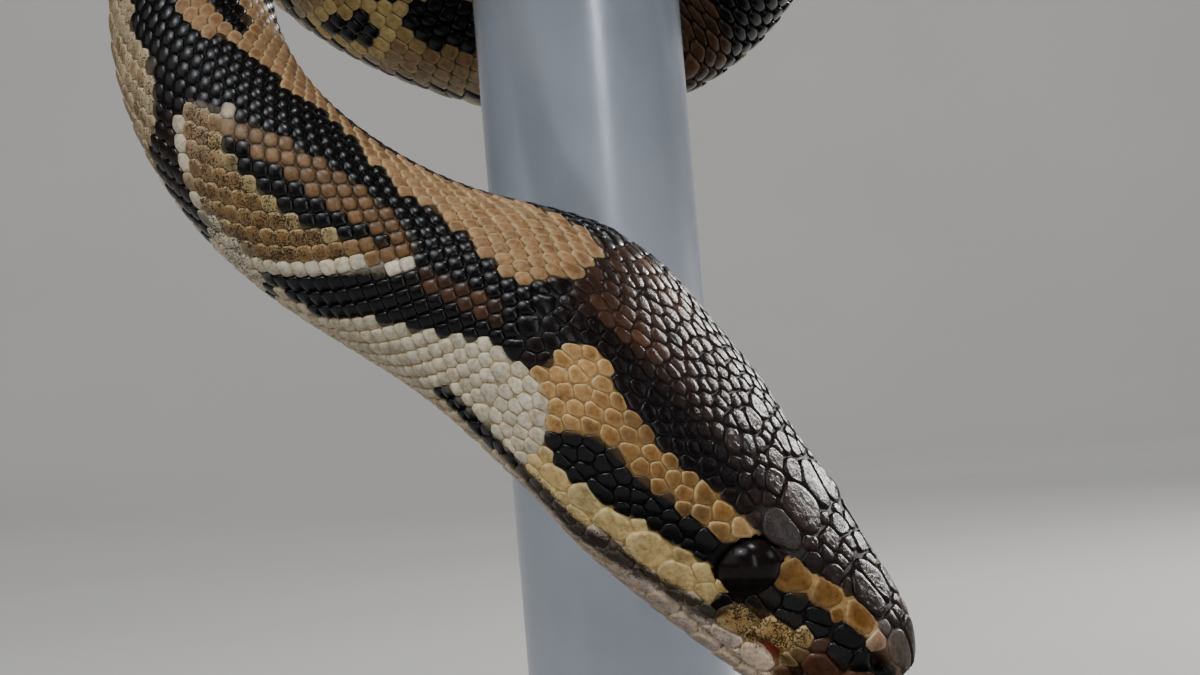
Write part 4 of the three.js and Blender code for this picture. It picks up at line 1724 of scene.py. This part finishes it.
def make_scutes(material):
    """Wide plates under the belly, and paired ones under the tail."""
    table = np.array(scute_rows())
    vertices = np.array([scute_places(*row) for row in table])
    rings = len(SCUTE_SHARES)
    spin = np.concatenate([[0.0], np.tile(round_angles(SCUTE_SIDES), rings)])
    edge = np.concatenate([[0.0], np.repeat(SCUTE_SHARES, SCUTE_SIDES)])
    colour, speck = markings(vertices[..., 0], degrees_of(vertices))
    colour = colour * random.normal(1, 0.04, len(table))[:, None, None]
    # Painted shade: each scute's skirt, down in the gap between plates, is darkened.
    colour = colour * np.where(edge > 0.99, 0.5, 1.0)[None, :, None]
    uv = bake_places(table[:, 0], table[:, 1], table[0, 0], table[-1, 0], edge, spin)
    faces = dome_faces(len(table), rings, SCUTE_SIDES)
    piece = make_piece("scutes", bend(vertices.reshape(-1, 3)) * MM, faces, material)
    dress(piece, colour.clip(0, 1), speck, uv)


make_scutes(scale_material)

# ------ eyes


def eye_material():
    material, tree, shader = new_material("eye_dark")
    colour = clouded(tree, (0.009, 0.006, 0.005, 1), 1200, 3, 0.5, 1.3)
    set_surface(tree, shader, colour, 0.19)
    shader.inputs["Specular IOR Level"].default_value = 0.13
    return material


def make_eye(name, sign, material):
    middle = bend(eye_frame(sign)[0][None])[0] * MM
    sides, rings = 48, 24
    angle = round_angles(sides)[None]
    polar = np.linspace(0, math.pi, rings + 2)[1:-1, None]
    ball = np.stack(np.broadcast_arrays(np.sin(polar) * np.cos(angle),
                                        np.sin(polar) * np.sin(angle), np.cos(polar)), -1)
    ball = np.concatenate([ball.reshape(-1, 3), [[0, 0, 1], [0, 0, -1]]])
    ball = ball * np.array([1, 1, 0.89]) * BALL_RADIUS * MM + middle
    pole = rings * sides
    faces = [grid_faces(rings, sides), fan(pole, 0, sides),
             fan(pole + 1, pole - sides, sides, True)]
    piece = make_piece(name, ball, faces, material)
    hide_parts(name.replace("eyeball", "eye"))


dark_eye = eye_material()
make_eye("eyeball_left", -1, dark_eye)
make_eye("eyeball_right", 1, dark_eye)

# ------ perch and its stand

PERCH_BOTTOM = 40.0
PERCH_TOP = 352.0
CAP_HEIGHT = 5.0
BASE_RADIUS = 100.0
BASE_HEIGHT = 14.0
ROD_RADIUS = 5.0
STAND_SOCKET_RADIUS = 15.0
STAND_SOCKET_HEIGHT = 12.0


def turned_piece(name, corners, material, node_name, sides=128):
    """A solid of revolution from [radius, height] corners going up."""
    profile = np.array(corners, float)
    angle = round_angles(sides)
    ring = np.stack([np.cos(angle), np.sin(angle)], -1)
    places = [np.column_stack([ring * r, np.full(sides, z)]) for r, z in profile]
    vertices = np.concatenate(places + [[[0, 0, profile[0, 1]]], [[0, 0, profile[-1, 1]]]])
    middle = len(profile) * sides
    faces = [grid_faces(len(profile), sides)[:, ::-1], fan(middle, 0, sides, True),
             fan(middle + 1, middle - sides, sides)]
    piece = make_piece(name, vertices * MM, faces, material)
    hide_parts(node_name)
    edges = piece.modifiers.new("edges", "EDGE_SPLIT")
    edges.split_angle = math.radians(35)


def rounded(radius, bottom, top, bevel, steps=5):
    """Corners of a disc with rounded edges."""
    turns = np.linspace(0, math.pi / 2, steps + 1)
    low = [(radius - bevel + bevel * math.sin(t), bottom + bevel - bevel * math.cos(t))
           for t in turns]
    high = [(radius - bevel + bevel * math.cos(t), top - bevel + bevel * math.sin(t))
            for t in turns]
    return low + high


def metal_material():
    material, tree, shader = new_material("satin_tube")
    colour = clouded(tree, (0.43, 0.47, 0.54, 1), 60, 5, 0.92, 1.08)
    set_surface(tree, shader, colour, cloudy(tree, 700, 5, 0.2, 0.27))
    shader.inputs["Metallic"].default_value = 0.4
    bumped(tree, shader, object_noise(tree, 4000, 3), 0.08, 0.0001)
    return material


def coated_material(name, colour, roughness):
    material, tree, shader = new_material(name)
    rough = cloudy(tree, 900, 4, roughness - 0.06, roughness + 0.08)
    set_surface(tree, shader, clouded(tree, colour, 300, 5, 0.85, 1.15), rough)
    bumped(tree, shader, object_noise(tree, 2600, 4), 0.3, 0.0002)
    return material


def make_perch():
    tube = metal_material()
    charcoal = coated_material("charcoal_coat", (0.018, 0.019, 0.022, 1), 0.5)
    plastic = coated_material("cap_plastic", (0.012, 0.012, 0.013, 1), 0.45)
    cap_bottom = PERCH_TOP + SEAT_GAP
    socket_top = PERCH_BOTTOM - SEAT_GAP
    socket_bottom = socket_top - STAND_SOCKET_HEIGHT
    turned_piece("tube", rounded(PERCH_RADIUS, PERCH_BOTTOM, PERCH_TOP, 0.2, 2), tube,
                 "perch_pole")
    turned_piece("tube_cap", rounded(PERCH_RADIUS, cap_bottom, cap_bottom + CAP_HEIGHT, 1.2),
                 plastic, "perch_cap")
    turned_piece("socket", rounded(STAND_SOCKET_RADIUS, socket_bottom, socket_top, 1.0),
                 charcoal, "stand_socket")
    turned_piece("rod", rounded(ROD_RADIUS, BASE_HEIGHT + SEAT_GAP,
                                socket_bottom - SEAT_GAP, 0.2, 2),
                 charcoal, "stand_rod")
    turned_piece("base", rounded(BASE_RADIUS, 0, BASE_HEIGHT, 2.0), charcoal,
                 "stand_base", 192)


make_perch()

# ------ floor and lights

FLOOR_FRONT = -3.5
WALL_PLACE = 3.0
WALL_HEIGHT = 4.0
STAGE_HALF = 4.0
SWEEP_RADIUS = 0.7
SWEEP_STEPS = 16


def make_stage():
    """A pale floor that sweeps up into a backdrop behind the object."""
    material, tree, shader = new_material("backdrop")
    colour = clouded(tree, (0.5, 0.49, 0.475, 1), 3, 3, 0.97, 1.03)
    set_surface(tree, shader, colour, 0.9)
    bend_from = WALL_PLACE - SWEEP_RADIUS
    profile = [(FLOOR_FRONT, 0.0), (bend_from, 0.0)]
    for turn in np.linspace(0, math.pi / 2, SWEEP_STEPS + 1)[1:]:
        profile.append((bend_from + SWEEP_RADIUS * math.sin(turn),
                        SWEEP_RADIUS - SWEEP_RADIUS * math.cos(turn)))
    profile.append((WALL_PLACE, WALL_HEIGHT))
    vertices = [(x, y, z) for x in (-STAGE_HALF, STAGE_HALF) for y, z in profile]
    n = len(profile)
    mesh = bpy.data.meshes.new("backdrop")
    mesh.from_pydata(vertices, [], [(i, n + i, n + i + 1, i + 1) for i in range(n - 1)])
    for polygon in mesh.polygons:
        polygon.use_smooth = True
    mesh.materials.append(material)
    backdrop = add_object("backdrop", mesh)
    backdrop.location.z = -0.0005


TARGET = (0, 0, 0.13)
WALL_TARGET = (0, 3.0, 0.6)


def add_light(name, place, width, height, watts, colour=(1, 1, 1), target=TARGET):
    name = name + "_light"
    data = bpy.data.lights.new(name, "AREA")
    data.shape = "RECTANGLE"
    data.size = width
    data.size_y = height
    data.energy = watts
    data.color = colour
    light = add_object(name, data)
    light.location = place
    light.rotation_mode = "QUATERNION"
    toward = Vector(target) - Vector(place)
    light.rotation_quaternion = toward.to_track_quat("-Z", "Y")


def make_lights():
    add_light("key", (0.82, 0.91, 0.52), 0.16, 0.16, 13, (1.0, 0.98, 0.95))
    add_light("top_left", (-0.35, -0.68, 1.15), 0.7, 0.55, 8, (0.88, 0.94, 1.0))
    add_light("glint_left", (-0.32, -0.62, 1.05), 0.09, 0.07, 2.4, (0.92, 0.96, 1.0))
    add_light("top_right", (0.30, -0.36, 1.35), 0.24, 0.34, 4, (0.92, 0.96, 1.0))
    add_light("right", (1.2, -0.16, 0.62), 0.4, 0.4, 1.8, (0.9, 0.95, 1.0))
    add_light("glint_right", (0.28, -0.34, 1.25), 0.07, 0.09, 1.8, (0.95, 0.98, 1.0))
    add_light("front", (0.44, -1.15, 0.30), 0.12, 1.2, 4, (0.98, 0.98, 1.0))
    add_light("left", (-1.1, -0.7, 0.8), 1.3, 0.9, 4, (1.0, 0.96, 0.93))
    add_light("backdrop", (0.0, 1.5, 1.9), 2.4, 0.5, 28, target=WALL_TARGET)
    world = bpy.data.worlds.new("studio")
    world.use_nodes = True
    background = world.node_tree.nodes["Background"]
    background.inputs["Color"].default_value = (0.9, 0.93, 1.0, 1)
    background.inputs["Strength"].default_value = 0.07
    bpy.context.scene.world = world


make_stage()
make_lights()

# ------ end


bpy.context.view_layer.update()
